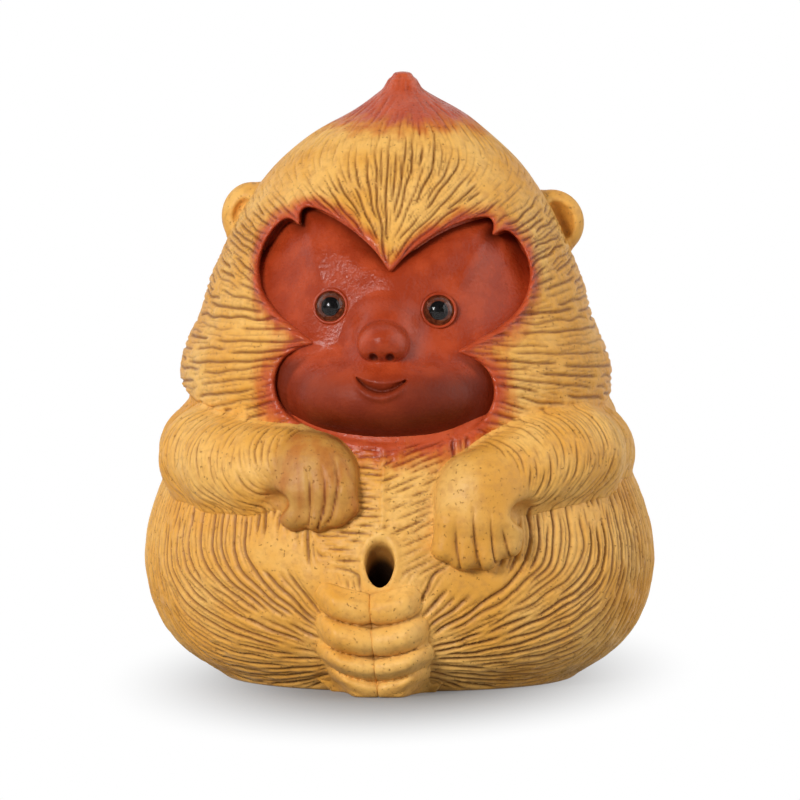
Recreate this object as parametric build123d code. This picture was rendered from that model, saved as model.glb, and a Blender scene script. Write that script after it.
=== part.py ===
from build123d import *
import os
from math import cos, radians, sin

# A hollow clay monkey that sits on a tea tray and spouts water from its belly.
# Millimetres, +Z up, origin at the middle of the base. The face looks along -Y.
# Left and right are as seen from the front, so left is -X.

# Outline of the body: a peach shape, round in plan and a little wider than deep
BODY_HEIGHT = 92.0
BODY_WIDTH = 78.4
BODY_DEPTH = 71.0
WALL = 4.6
SEAM_Y = 0.0
# (height, half width and half depth alike), as shares of the three sizes above
OUTLINE_SHARES = (
    (0.000, 0.650),
    (0.033, 0.805),
    (0.087, 0.926),
    (0.196, 1.000),
    (0.304, 0.950),
    (0.391, 0.862),
    (0.452, 0.815),
    (0.511, 0.830),
    (0.598, 0.782),
    (0.685, 0.716),
    (0.761, 0.636),
    (0.837, 0.512),
    (0.891, 0.386),
    (0.929, 0.262),
    (0.957, 0.146),
    (0.980, 0.075),
    (1.000, 0.030),
)

# Mane: the lower edge of the head's fur, a roll that stands proud of the shoulders all round
MANE_HEIGHT = 0.488 * BODY_HEIGHT
MANE_RISE = 0.135 * BODY_HEIGHT
MANE_PROUD = 1.1
# (height above the edge, standoff from the skin), as shares of MANE_RISE and MANE_PROUD
MANE_SHARES = ((0.00, -2.00), (0.04, 0.55), (0.16, 1.00), (0.40, 0.95), (0.70, 0.40), (1.00, -1.00))

# Base slab that closes the underside
BASE_WIDTH = 40.0
BASE_DEPTH = 36.0
BASE_THICKNESS = 4.0

# Crown tip and the spigot that plugs the vent between the two halves
CROWN_SEAT_HEIGHT = 0.924 * BODY_HEIGHT
CROWN_ROUND = 0.6
SPIGOT_RADIUS = 0.051 * BODY_WIDTH

# Water spout in the belly, pointing forward and up
SPOUT_RADIUS = 2.3
SPOUT_HEIGHT = 0.223 * BODY_HEIGHT
SPOUT_TILT = 46.0

# Face: two eye lobes under the brows and a wide muzzle lobe below them
FACE_WIDTH = 0.541 * BODY_WIDTH
FACE_HEIGHT = 0.363 * BODY_HEIGHT
FACE_BOTTOM = 0.422 * BODY_HEIGHT
FACE_SUNK = 1.0
MASK_THICKNESS = 1.9
# (half width, height above the bottom), as shares of the face's half width and height
EYE_LOBE_SHARES = (
    (0.00, 0.815),
    (0.33, 0.945),
    (0.68, 1.000),
    (0.94, 0.900),
    (0.99, 0.690),
    (0.83, 0.500),
    (0.60, 0.420),
)
MUZZLE_LOBE_SHARES = ((0.60, 0.42), (0.78, 0.32), (0.81, 0.18), (0.58, 0.05))

# Muzzle pad with the nose bridge above it
MUZZLE_WIDTH = 0.485 * BODY_WIDTH
MUZZLE_HEIGHT = 0.185 * BODY_HEIGHT
MUZZLE_CENTRE_HEIGHT = 0.500 * BODY_HEIGHT
MUZZLE_RISE = 0.065 * BODY_DEPTH
MUZZLE_ROOT = 0.085 * BODY_DEPTH
BRIDGE_WIDTH = 0.166 * BODY_WIDTH
BRIDGE_HEIGHT = 0.141 * BODY_HEIGHT
BRIDGE_CENTRE_HEIGHT = 0.576 * BODY_HEIGHT
BRIDGE_RISE = 0.037 * BODY_DEPTH
BRIDGE_ROOT = 0.056 * BODY_DEPTH

# Mouth, a crescent cut into the muzzle
MOUTH_WIDTH = 0.094 * BODY_WIDTH
MOUTH_SAG = 0.028 * BODY_HEIGHT
MOUTH_THICKNESS = 1.0
MOUTH_HEIGHT = 0.521 * BODY_HEIGHT
MOUTH_DEPTH = 1.1

# Nose button
NOSE_WIDTH = 0.110 * BODY_WIDTH
NOSE_HEIGHT = 0.070 * BODY_HEIGHT
NOSE_DEPTH = 0.090 * BODY_DEPTH
NOSE_CENTRE_HEIGHT = 0.591 * BODY_HEIGHT
NOSTRIL_RADIUS = 0.7
NOSTRIL_SPACING = 0.37 * NOSE_WIDTH
NOSTRIL_DEPTH = 1.6
NOSTRIL_TILT = 55.0

# Eyes: a glass dome over a painted iris and pupil, held by a thin clay rim
EYE_SPACING = 0.213 * BODY_WIDTH
EYE_HEIGHT = 0.640 * BODY_HEIGHT
LENS_RADIUS = 2.5
LENS_RISE = 1.9
LENS_SEAT = 0.25
IRIS_THICKNESS = 0.5
PUPIL_RADIUS = 1.5
RIM_RADIUS = 0.45

# Ears, cupped towards the front
EAR_WIDTH = 0.120 * BODY_WIDTH
EAR_HEIGHT = 0.111 * BODY_HEIGHT
EAR_DEPTH = 0.079 * BODY_DEPTH
EAR_CENTRE_HEIGHT = 0.767 * BODY_HEIGHT
EAR_SETBACK = 0.070 * BODY_DEPTH
EAR_STANDOFF = -1.5
EAR_RIM = 1.3
EAR_TENON_RADIUS = 1.8
EAR_TENON_LENGTH = 3.0

# Arms: stations along each arm, from inside the shoulder round to the wrist
ARM_RADIUS = 0.0826 * BODY_HEIGHT
# The wrist is a ball this much larger in radius than the arm's end
WRIST_SWELL = 0.4
# (bearing from the front in degrees, height as a share of BODY_HEIGHT,
#  standoff from the skin and radius as shares of ARM_RADIUS)
ARM_LEFT_STATION_SHARES = (
    (128, 0.430, -0.95, 0.55),
    (104, 0.412, -0.78, 0.92),
    (84, 0.394, -0.66, 1.00),
    (62, 0.380, -0.50, 1.00),
    (45, 0.372, -0.34, 0.95),
    (33, 0.368, -0.20, 0.84),
    (21, 0.366, -0.10, 0.68),
)
ARM_RIGHT_STATION_SHARES = (
    (128, 0.430, -0.95, 0.55),
    (104, 0.412, -0.78, 0.92),
    (84, 0.394, -0.66, 1.00),
    (62, 0.382, -0.50, 1.00),
    (47, 0.376, -0.34, 0.95),
    (36, 0.372, -0.20, 0.88),
    (25, 0.358, -0.10, 0.76),
)
# Hands: width, thickness and length, then where each hangs on the belly
HAND_LEFT_WIDTH = 0.145 * BODY_WIDTH
HAND_LEFT_LENGTH = 0.163 * BODY_HEIGHT
HAND_LEFT_BEARING = 19.0
HAND_LEFT_CENTRE_HEIGHT = 0.354 * BODY_HEIGHT
HAND_RIGHT_WIDTH = 0.161 * BODY_WIDTH
HAND_RIGHT_LENGTH = 0.200 * BODY_HEIGHT
HAND_RIGHT_BEARING = 22.5
HAND_RIGHT_CENTRE_HEIGHT = 0.309 * BODY_HEIGHT
HAND_THICKNESS = 0.127 * BODY_DEPTH
HAND_STANDOFF = 0.2
# Fingers: how far each laps its neighbour, stands proud of the palm and reaches past it
FINGER_LAP = 1.2
FINGER_PROUD = 0.5
FINGER_REACH = 0.6
# Length of each finger, thumb side last, as shares of the hand's length
FINGER_LENGTH_SHARES = (0.56, 0.68, 0.70, 0.58)

# Feet: four toes each, one above the other, meeting on the middle line
TOE_LENGTH = 0.128 * BODY_WIDTH
TOE_HEIGHT = 0.065 * BODY_HEIGHT
TOE_DEPTH = 0.127 * BODY_DEPTH
TOE_PITCH = 0.0446 * BODY_HEIGHT
TOE_LAP = 0.6
TOE_FLAT = 0.7
FOOT_GAP = 0.4
# How far behind the belly's front each toe's middle lies, lowest first, as shares of TOE_DEPTH
TOE_SETBACK_SHARES = (0.56, 0.30, 0.22, 0.26)
# Ball of the foot behind the toes
BALL_WIDTH = 0.112 * BODY_WIDTH
BALL_DEPTH = 0.113 * BODY_DEPTH
BALL_HEIGHT = 0.170 * BODY_HEIGHT
BALL_SUNK = 0.031 * BODY_DEPTH

# Joints: the slip that bonds two pieces is this thick round a tenon or a plug
SLIP = 0.1
OVERRUN = 2.0


# Turns of a ball that bring its poles to the front and back, or to the left and right
POLES_AHEAD = Rot(90, 0, 0)
POLES_ACROSS = Rot(90, 0, 0) * Rot(0, 90, 0)


def width_at(height):
    """Half width of the skin at a height, by straight lines between the stations."""
    share = height / BODY_HEIGHT
    for (low, size_low), (high, size_high) in zip(OUTLINE_SHARES, OUTLINE_SHARES[1:]):
        if share <= high:
            along = (share - low) / (high - low)
            return (size_low + along * (size_high - size_low)) * BODY_WIDTH / 2
    return OUTLINE_SHARES[-1][1] * BODY_WIDTH / 2


def skin_frame(bearing, height, side):
    """A point on the skin and its outward direction; the bearing turns from the front to that side."""
    half_width = width_at(height)
    half_depth = half_width * BODY_DEPTH / BODY_WIDTH
    turn = radians(bearing)
    point = Vector(side * half_width * sin(turn), -half_depth * cos(turn), height)
    outward = Vector(side * sin(turn) / half_width, -cos(turn) / half_depth, 0).normalized()
    return point, outward


def front_hit(solid, across, height):
    """Where a line from straight ahead first meets a solid, and the outward direction there."""
    line = Axis((across, -BODY_DEPTH, height), (0, 1, 0))
    return solid.find_intersection_points(line)[0]


def side_hit(solid, setback, height, side):
    """Where a line from that side first meets a solid."""
    line = Axis((side * BODY_WIDTH, setback, height), (-side, 0, 0))
    return solid.find_intersection_points(line)[0][0]


def ellipsoid(width, depth, height, poles=POLES_AHEAD):
    """An ellipsoid of these three overall sizes, centred on the origin."""
    return scale(poles * Sphere(1), by=(width / 2, depth / 2, height / 2))


def figure(inset):
    """The whole peach outline as one solid, drawn in by inset all round."""
    sections = []
    for height_share, size_share in OUTLINE_SHARES:
        half_width = size_share * BODY_WIDTH / 2 - inset
        half_depth = size_share * BODY_DEPTH / 2 - inset
        if half_depth > inset / 2:
            plane = Plane.XY.offset(height_share * BODY_HEIGHT)
            sections.append(plane * Ellipse(half_width, half_depth))
    return loft(sections)


def mane():
    """The roll at the mane's lower edge, filled to the middle."""
    sections = []
    for height_share, proud_share in MANE_SHARES:
        height = MANE_HEIGHT + height_share * MANE_RISE
        half_width = width_at(height)
        proud = proud_share * MANE_PROUD
        outline = Ellipse(half_width + proud, half_width * BODY_DEPTH / BODY_WIDTH + proud)
        sections.append(Plane.XY.offset(height) * outline)
    return loft(sections, ruled=True)


def above(height):
    """A block that holds everything above a height."""
    block = Box(2 * BODY_WIDTH, 2 * BODY_DEPTH, 2 * BODY_HEIGHT)
    return Pos(0, 0, height + BODY_HEIGHT) * block


def behind(setback):
    """A block that holds everything behind a plane across the figure."""
    block = Box(2 * BODY_WIDTH, 2 * BODY_DEPTH, 4 * BODY_HEIGHT)
    return Pos(0, setback + BODY_DEPTH, 0) * block


def face_prism():
    """The face outline, carried straight forward from the middle of the figure."""

    def place(across, up):
        return (across * FACE_WIDTH / 2, FACE_BOTTOM + up * FACE_HEIGHT)

    right_lobe = Spline([place(across, up) for across, up in EYE_LOBE_SHARES])
    left_lobe = Spline([place(-across, up) for across, up in EYE_LOBE_SHARES])
    right_cheek = [place(across, up) for across, up in MUZZLE_LOBE_SHARES]
    left_cheek = [place(-across, up) for across, up in reversed(MUZZLE_LOBE_SHARES)]
    chin = Spline(right_cheek + [place(0, 0)] + left_cheek)
    return extrude(Plane.XZ * make_face([right_lobe, chin, left_lobe]), BODY_DEPTH)


def base_slab(clearance):
    """The disc that closes the underside, or the opening for it when a clearance is given."""
    outline = Ellipse(BASE_WIDTH / 2 + clearance, BASE_DEPTH / 2 + clearance)
    return extrude(outline, BASE_THICKNESS)


def crown_plug(clearance):
    """The spigot under the crown tip, or the vent that it plugs when a clearance is given."""
    plug = Cylinder(SPIGOT_RADIUS + clearance, WALL, align=(Align.CENTER, Align.CENTER, Align.MAX))
    return Pos(0, 0, CROWN_SEAT_HEIGHT) * plug


def crown_tip(skin):
    """The red tip: the top of the outline, rounded off, with its spigot."""
    tip = skin & above(CROWN_SEAT_HEIGHT)
    tip = fillet(tip.edges().group_by(Axis.Z)[-1], CROWN_ROUND)
    return tip + crown_plug(0)


def spout_bore(skin):
    """The water hole through the belly, tilted so that it points forward and up."""
    mouth = front_hit(skin, 0, SPOUT_HEIGHT)[0]
    tilt = radians(SPOUT_TILT)
    plane = Plane(origin=mouth, z_dir=(0, -cos(tilt), sin(tilt)))
    return plane * Cylinder(SPOUT_RADIUS, 6 * WALL)


def eye_plane(face_core, side):
    """Plane on the face's surface at one eye, looking straight out of it."""
    point, outward = front_hit(face_core, side * EYE_SPACING / 2, EYE_HEIGHT)
    return Plane(origin=point, z_dir=outward)


def eye_socket(plane):
    """The round seat for the eye in the face mask, open to the front."""
    depth = LENS_SEAT + IRIS_THICKNESS
    seat = Cylinder(LENS_RADIUS + SLIP, depth + OVERRUN, align=(Align.CENTER, Align.CENTER, Align.MIN))
    return plane * Pos(0, 0, -depth) * seat


def eye_lens(plane):
    """A glass dome, flat behind."""
    sphere_radius = (LENS_RADIUS**2 + LENS_RISE**2) / (2 * LENS_RISE)
    ball = Pos(0, 0, LENS_RISE - sphere_radius) * Sphere(sphere_radius)
    cap = Cylinder(LENS_RADIUS, LENS_RISE, align=(Align.CENTER, Align.CENTER, Align.MIN))
    return plane * Pos(0, 0, -LENS_SEAT) * (ball & cap)


def eye_disc(plane, outer, inner):
    """A painted layer behind the dome: a disc, or a ring when it has an inner radius."""
    face = Circle(outer) - Circle(inner) if inner else Circle(outer)
    return plane * Pos(0, 0, -LENS_SEAT) * extrude(face, -IRIS_THICKNESS)


def eye_rim(plane, face_core):
    """The coil of clay round the dome, bedded on the face."""
    coil = plane * Torus(LENS_RADIUS + SLIP + RIM_RADIUS, RIM_RADIUS)
    return coil - face_core


def pad(face_core, width, height, centre_height, rise, root):
    """A swelling of the face: an ellipsoid whose middle lies root under the face's surface."""
    surface = front_hit(face_core, 0, centre_height)[0]
    middle = surface + Vector(0, root, 0)
    return Pos(*middle) * ellipsoid(width, 2 * (rise + root), height, POLES_ACROSS)


def mouth_cut(muzzle):
    """A smiling crescent, MOUTH_DEPTH deep in the muzzle."""
    radius = (MOUTH_WIDTH**2 / 4 + MOUTH_SAG**2) / (2 * MOUTH_SAG)
    lip = Circle(radius) - Pos(0, MOUTH_THICKNESS) * Circle(radius)
    lip -= Pos(0, MOUTH_SAG) * Rectangle(2 * radius, 2 * radius)
    lowest = MOUTH_HEIGHT - MOUTH_SAG
    bottom = front_hit(muzzle, 0, lowest)[0].Y + MOUTH_DEPTH
    plane = Plane(origin=(0, bottom, lowest + radius), x_dir=(1, 0, 0), z_dir=(0, -1, 0))
    return extrude(plane * lip, 2 * MUZZLE_RISE)


def muzzle(face_core, prism):
    """The cheeks and mouth with the nose bridge above, kept inside the face outline."""
    cheeks = pad(face_core, MUZZLE_WIDTH, MUZZLE_HEIGHT, MUZZLE_CENTRE_HEIGHT, MUZZLE_RISE, MUZZLE_ROOT)
    bridge = pad(face_core, BRIDGE_WIDTH, BRIDGE_HEIGHT, BRIDGE_CENTRE_HEIGHT, BRIDGE_RISE, BRIDGE_ROOT)
    whole = ((cheeks + bridge) & prism) - face_core
    return whole - mouth_cut(whole)


def nose(muzzle_pad, face_core):
    """A button bedded on the nose bridge, with two nostrils under its front."""
    middle = front_hit(muzzle_pad, 0, NOSE_CENTRE_HEIGHT)[0]
    button = Pos(*middle) * ellipsoid(NOSE_WIDTH, NOSE_DEPTH, NOSE_HEIGHT)
    button -= muzzle_pad
    button -= face_core
    tilt = radians(NOSTRIL_TILT)
    reach = (cos(tilt) * NOSE_DEPTH + sin(tilt) * NOSE_HEIGHT) / 2
    for side in (-1, 1):
        opening = middle + Vector(side * NOSTRIL_SPACING / 2, -cos(tilt) * reach, -sin(tilt) * reach)
        plane = Plane(origin=opening, z_dir=(0, -cos(tilt), -sin(tilt)))
        button -= plane * Cylinder(NOSTRIL_RADIUS, 2 * NOSTRIL_DEPTH)
    return button


def ear_tenon(skin, side, clearance):
    """The peg behind an ear, or the mortise for it when a clearance is given."""
    root = side_hit(skin, EAR_SETBACK, EAR_CENTRE_HEIGHT, side)
    length = EAR_TENON_LENGTH + EAR_DEPTH / 2
    peg = Cylinder(EAR_TENON_RADIUS + clearance, length + 2 * clearance)
    middle = root + Vector(side * (EAR_DEPTH / 2 - EAR_TENON_LENGTH) / 2, 0, 0)
    return Pos(*middle) * Rot(0, 90, 0) * peg


def ear(skin, side):
    """A cupped ear, hollow towards the front, with its peg."""
    root = side_hit(skin, EAR_SETBACK, EAR_CENTRE_HEIGHT, side)
    middle = root + Vector(side * EAR_STANDOFF, 0, 0)
    cup = Pos(*middle) * ellipsoid(EAR_WIDTH, EAR_DEPTH, EAR_HEIGHT)
    hollow = ellipsoid(EAR_WIDTH - 2 * EAR_RIM, EAR_DEPTH, EAR_HEIGHT - 2 * EAR_RIM)
    cup -= Pos(*(middle - Vector(0, EAR_DEPTH / 2, 0))) * hollow
    return cup - skin + ear_tenon(skin, side, 0)


def hand(side, width, length, bearing, centre_height):
    """A hand that droops over the belly: a palm with four fingers side by side on it."""
    point, outward = skin_frame(bearing, centre_height, side)
    middle = point + outward * HAND_STANDOFF
    plane = Plane(origin=middle, x_dir=Vector(0, 0, 1).cross(outward), z_dir=(0, 0, 1))
    palm = ellipsoid(width, HAND_THICKNESS, length)
    pitch = width / len(FINGER_LENGTH_SHARES)
    first = -pitch * (len(FINGER_LENGTH_SHARES) - 1) / 2
    for index, length_share in enumerate(FINGER_LENGTH_SHARES):
        finger_length = length * length_share
        finger = ellipsoid(pitch + FINGER_LAP, HAND_THICKNESS, finger_length)
        drop = (finger_length - length) / 2 - FINGER_REACH
        palm += Pos(first + index * pitch, -FINGER_PROUD, drop) * finger
    return Location(plane) * palm


def arm(skin, side, station_shares, drooping_hand):
    """A rolled arm that wraps the body from the shoulder to the wrist, with its hand."""
    centres = []
    for bearing, height_share, standoff_share, _ in station_shares:
        point, outward = skin_frame(bearing, height_share * BODY_HEIGHT, side)
        centres.append(point + outward * (standoff_share * ARM_RADIUS))
    sections = []
    last = len(centres) - 1
    for index, (centre, shares) in enumerate(zip(centres, station_shares)):
        along = centres[min(index + 1, last)] - centres[max(index - 1, 0)]
        across = along.cross(Vector(0, 0, 1))
        plane = Plane(origin=centre, x_dir=across, z_dir=along)
        sections.append(plane * Circle(shares[3] * ARM_RADIUS))
    wrist = Pos(*centres[-1]) * Sphere(station_shares[-1][3] * ARM_RADIUS + WRIST_SWELL)
    return loft(sections) + wrist + drooping_hand - skin


def left_foot(skin):
    """Four toes, one above the other, from the table up to the spout, on the ball of the foot."""
    across = TOE_LAP - (FOOT_GAP + TOE_LENGTH) / 2
    front = -BODY_DEPTH / 2
    ball = ellipsoid(BALL_WIDTH, BALL_DEPTH, BALL_HEIGHT)
    toes = Pos(across, front + BALL_SUNK, BALL_HEIGHT / 2) * ball
    for index, setback_share in enumerate(TOE_SETBACK_SHARES):
        height = TOE_HEIGHT / 2 - TOE_FLAT + index * TOE_PITCH
        toe = ellipsoid(TOE_LENGTH, TOE_DEPTH, TOE_HEIGHT)
        toes += Pos(across, front + setback_share * TOE_DEPTH, height) * toe
    block = Box(BODY_WIDTH, 2 * BODY_DEPTH, 4 * BODY_HEIGHT)
    half = Pos(-(BODY_WIDTH + FOOT_GAP) / 2, 0, 0) * block
    return (toes & half & above(0)) - skin


def main():
    skin = figure(0) + mane()
    face_core = figure(FACE_SUNK)
    mask_core = figure(FACE_SUNK + MASK_THICKNESS)
    prism = face_prism()
    sides = {"left": -1, "right": 1}

    nodes = {}
    shell = skin - (figure(WALL) & above(BASE_THICKNESS) - above(CROWN_SEAT_HEIGHT - WALL))
    shell -= above(CROWN_SEAT_HEIGHT)
    shell -= base_slab(SLIP)
    shell -= crown_plug(SLIP)
    shell -= spout_bore(skin)
    for side in sides.values():
        shell -= ear_tenon(skin, side, SLIP)
    front = shell - behind(SEAM_Y)
    nodes["body_front"] = front - (prism - mask_core)
    nodes["body_back"] = shell & behind(SEAM_Y)
    nodes["base_slab"] = base_slab(0)
    nodes["crown_tip"] = crown_tip(skin)

    mask = (face_core & prism) - mask_core
    muzzle_pad = muzzle(face_core, prism)
    nodes["muzzle"] = muzzle_pad
    nodes["nose"] = nose(muzzle_pad, face_core)
    for name, side in sides.items():
        plane = eye_plane(face_core, side)
        mask -= eye_socket(plane)
        nodes[f"eye_lens_{name}"] = eye_lens(plane)
        nodes[f"eye_iris_{name}"] = eye_disc(plane, LENS_RADIUS, PUPIL_RADIUS)
        nodes[f"eye_pupil_{name}"] = eye_disc(plane, PUPIL_RADIUS, 0)
        nodes[f"eye_rim_{name}"] = eye_rim(plane, face_core)
        nodes[f"ear_{name}"] = ear(skin, side)
    nodes["face_mask"] = mask
    nodes["foot_left"] = left_foot(skin)
    nodes["foot_right"] = mirror(nodes["foot_left"], about=Plane.YZ)
    left_hand = hand(-1, HAND_LEFT_WIDTH, HAND_LEFT_LENGTH, HAND_LEFT_BEARING, HAND_LEFT_CENTRE_HEIGHT)
    right_hand = hand(1, HAND_RIGHT_WIDTH, HAND_RIGHT_LENGTH, HAND_RIGHT_BEARING, HAND_RIGHT_CENTRE_HEIGHT)
    nodes["arm_left"] = arm(skin, -1, ARM_LEFT_STATION_SHARES, left_hand)
    nodes["arm_right"] = arm(skin, 1, ARM_RIGHT_STATION_SHARES, right_hand)

    os.makedirs("parts", exist_ok=True)
    for name, solid in nodes.items():
        export_step(solid, f"parts/{name}.step")
        print(name, len(solid.solids()), "solid", round(solid.volume), "mm3")


main()
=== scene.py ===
import functools
import itertools
import math
import random

import bmesh
import bpy
import numpy as np
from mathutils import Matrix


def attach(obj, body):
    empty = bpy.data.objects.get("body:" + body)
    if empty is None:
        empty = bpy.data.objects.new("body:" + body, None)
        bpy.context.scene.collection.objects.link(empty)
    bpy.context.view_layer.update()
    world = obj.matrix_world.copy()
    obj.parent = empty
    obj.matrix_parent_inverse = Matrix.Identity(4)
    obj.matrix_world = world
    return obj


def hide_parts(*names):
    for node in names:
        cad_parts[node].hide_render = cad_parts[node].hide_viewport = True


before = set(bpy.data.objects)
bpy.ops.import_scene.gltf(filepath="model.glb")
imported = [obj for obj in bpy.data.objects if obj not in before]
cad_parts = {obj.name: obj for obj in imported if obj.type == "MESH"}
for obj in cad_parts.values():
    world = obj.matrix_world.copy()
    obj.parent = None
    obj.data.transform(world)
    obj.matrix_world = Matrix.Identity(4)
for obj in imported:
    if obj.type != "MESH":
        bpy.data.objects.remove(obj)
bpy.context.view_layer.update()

import openvdb
from mathutils import Vector
from mathutils.kdtree import KDTree

# The looks of a clay monkey: soft modelled forms, combed fur, red face and glass eyes.
# Millimetres in the modelling code, metres in the scene. The face looks along -Y, left is -X.
# A place is (x, y, z) in numbers or arrays. A field gives the rough distance from a place to a
# surface, negative inside. A span is the low and high end of a soft step.
MILLIMETRE = 0.001
SIDES = {"left": -1, "right": 1}


def smooth_step(value, low, high):
    """Goes from 0 at low to 1 at high with soft ends."""
    share = np.clip((value - low) / (high - low), 0.0, 1.0)
    return share * share * (3.0 - 2.0 * share)


def between(value, rise, fall):
    """0, then 1 past the rise, then 0 again past the fall, each a span."""
    return smooth_step(value, *rise) * (1.0 - smooth_step(value, *fall))


def hump(value, middle, reach):
    """1 at the middle, falling off softly to both sides."""
    return np.exp(-(((value - middle) / reach) ** 2))


def spot(x, z, across, across_reach, height, height_reach):
    """A soft round patch on the front view, on both sides alike."""
    return np.exp(-(((np.abs(x) - across) / across_reach) ** 2) - (((z - height) / height_reach) ** 2))


def smooth_min(first, second, blend):
    """The lesser of two fields, with a rounded join."""
    share = np.clip(0.5 + 0.5 * (second - first) / blend, 0.0, 1.0)
    return second + (first - second) * share - blend * share * (1.0 - share)


def smooth_max(first, second, blend):
    return -smooth_min(-first, -second, blend)


def joined(fields, blend):
    """Several fields as one, with rounded joins."""
    return functools.reduce(lambda first, second: smooth_min(first, second, blend), fields)


def ball(place, centre, radii):
    """Field of an ellipsoid."""
    scaled = [(value - middle) / radius for value, middle, radius in zip(place, centre, radii)]
    near = np.sqrt(sum(value * value for value in scaled))
    far = np.sqrt(sum((value / radius) ** 2 for value, radius in zip(scaled, radii)))
    return near * (near - 1.0) / np.maximum(far, 1e-6)


def tube(place, points, radii, blend):
    """Field of a bent tube through points, with a radius at each."""
    pieces = []
    for start, end, near, far in zip(points, points[1:], radii, radii[1:]):
        run = [high - low for low, high in zip(start, end)]
        offset = [value - low for value, low in zip(place, start)]
        length = sum(step * step for step in run)
        share = np.clip(sum(one * step for one, step in zip(offset, run)) / length, 0.0, 1.0)
        gap = np.sqrt(sum((one - share * step) ** 2 for one, step in zip(offset, run)))
        pieces.append(gap - (near + share * (far - near)))
    return joined(pieces, blend)


# Body, as in the solids: sizes, and an outline of (height, half width) as shares of them
BODY_HEIGHT = 92.0
BODY_WIDTH = 78.4
BODY_DEPTH = 71.0
OUTLINE_SHARES = (
    (0.000, 0.655), (0.010, 0.700), (0.033, 0.805), (0.060, 0.875), (0.087, 0.926), (0.135, 0.976),
    (0.196, 1.000), (0.250, 0.988), (0.304, 0.950), (0.350, 0.905), (0.391, 0.862), (0.452, 0.815),
    (0.490, 0.822), (0.515, 0.826), (0.560, 0.806), (0.611, 0.762), (0.661, 0.734), (0.711, 0.683),
    (0.761, 0.630), (0.800, 0.575), (0.837, 0.515), (0.862, 0.466), (0.887, 0.402), (0.912, 0.330),
    (0.922, 0.294), (0.941, 0.220), (0.962, 0.140), (0.980, 0.074), (0.993, 0.050), (1.000, 0.030),
)
OUTLINE_SOFTNESS = 1.1
CRISP_TIP_SPAN = (84.0, 89.0)
TOP_ROUND = 0.8
BOTTOM_ROUND = 0.6
SEAM_Y = 0.0
CROWN_SEAT = 85.008
BASE_HALF = (20.0, 18.0)
BASE_PLAY_SHARE = 0.006
BASE_THICKNESS = 4.0
SLIP = 0.1
# Sideways lean of the middle line at some heights
LEAN_HEIGHTS = (0.0, 30.0, 45.0, 62.0, 76.0, 86.0, 92.0)
LEAN_OFFSETS = (0.0, -0.1, -0.6, -0.6, -0.3, 0.3, 0.4)

PROFILE_Z = np.linspace(-4.0, BODY_HEIGHT + 4.0, 800)
PROFILE_STEP = 0.125
PROFILE_WINDOW = 30


def outline_tables():
    """Half width and slope of the body at close heights, softened below the tip."""
    heights = np.array([share * BODY_HEIGHT for share, _ in OUTLINE_SHARES])
    halves = np.array([share * BODY_WIDTH / 2 for _, share in OUTLINE_SHARES])
    raw = np.interp(PROFILE_Z, heights, halves)
    reach = np.arange(-PROFILE_WINDOW, PROFILE_WINDOW + 1)
    weights = np.exp(-((reach * PROFILE_STEP) ** 2) / (2 * OUTLINE_SOFTNESS**2))
    weights /= weights.sum()
    soft = np.convolve(np.pad(raw, PROFILE_WINDOW, mode="edge"), weights, mode="valid")
    tip = smooth_step(PROFILE_Z, *CRISP_TIP_SPAN)
    soft = soft * (1 - tip) + raw * tip
    return soft, np.gradient(soft, PROFILE_Z)


PROFILE_HALF, PROFILE_SLOPE = outline_tables()


def half_width(z):
    return np.interp(z, PROFILE_Z, PROFILE_HALF)


def lean(z):
    return np.interp(z, LEAN_HEIGHTS, LEAN_OFFSETS)


def skin_y(x, z):
    """Depth of the front skin at a place on the front view."""
    half = half_width(z)
    inside = np.clip(1.0 - ((x - lean(z)) / half) ** 2, 0.0, 1.0)
    return -np.sqrt(inside) * half * BODY_DEPTH / BODY_WIDTH


def bearing(place):
    """Angle from the front in radians, positive to the right."""
    x, y, z = place
    return np.arctan2(x - lean(z), -y * BODY_WIDTH / BODY_DEPTH)


def plain_skin(place):
    """Field of the plain peach form."""
    x, y, z = place
    slope = np.interp(z, PROFILE_Z, PROFILE_SLOPE)
    ring = np.sqrt((x - lean(z)) ** 2 + (y * BODY_WIDTH / BODY_DEPTH) ** 2)
    side = (ring - half_width(z)) / np.sqrt(1.0 + slope * slope)
    return smooth_max(smooth_max(side, z - BODY_HEIGHT, TOP_ROUND), -z, BOTTOM_ROUND)


# Face outline: half width and height of points from the brow down to the chin
FACE_POINTS = (
    (0.0, 63.9), (0.6, 64.6), (2.0, 66.4), (4.4, 68.6), (7.8, 70.9), (11.2, 72.3), (13.8, 72.7),
    (14.8, 71.7), (14.6, 70.0), (14.7, 69.8), (16.6, 70.9), (18.6, 69.2), (20.2, 66.4), (20.8, 63.2),
    (19.8, 59.3), (16.6, 56.2), (13.3, 54.3), (10.8, 52.8), (10.8, 52.5), (14.2, 51.3), (16.4, 48.9),
    (16.8, 45.4), (15.3, 42.3), (12.4, 40.4), (8.4, 39.2), (4.0, 38.7), (0.0, 38.5),
)
FACE_MIDDLE = 55.0
FACE_LEAN = math.radians(3.0)
FACE_BACK = -6.0
CORNER_ROUNDS = 2


def face_outline():
    """The face outline as a closed run of points, made round by corner cutting."""
    left = [(-px, pz) for px, pz in FACE_POINTS[-2:0:-1]]
    run = np.array(list(FACE_POINTS) + left)
    for _ in range(CORNER_ROUNDS):
        following = np.roll(run, -1, axis=0)
        run = np.stack((run * 0.75 + following * 0.25, run * 0.25 + following * 0.75), axis=1).reshape(-1, 2)
    return run


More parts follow.
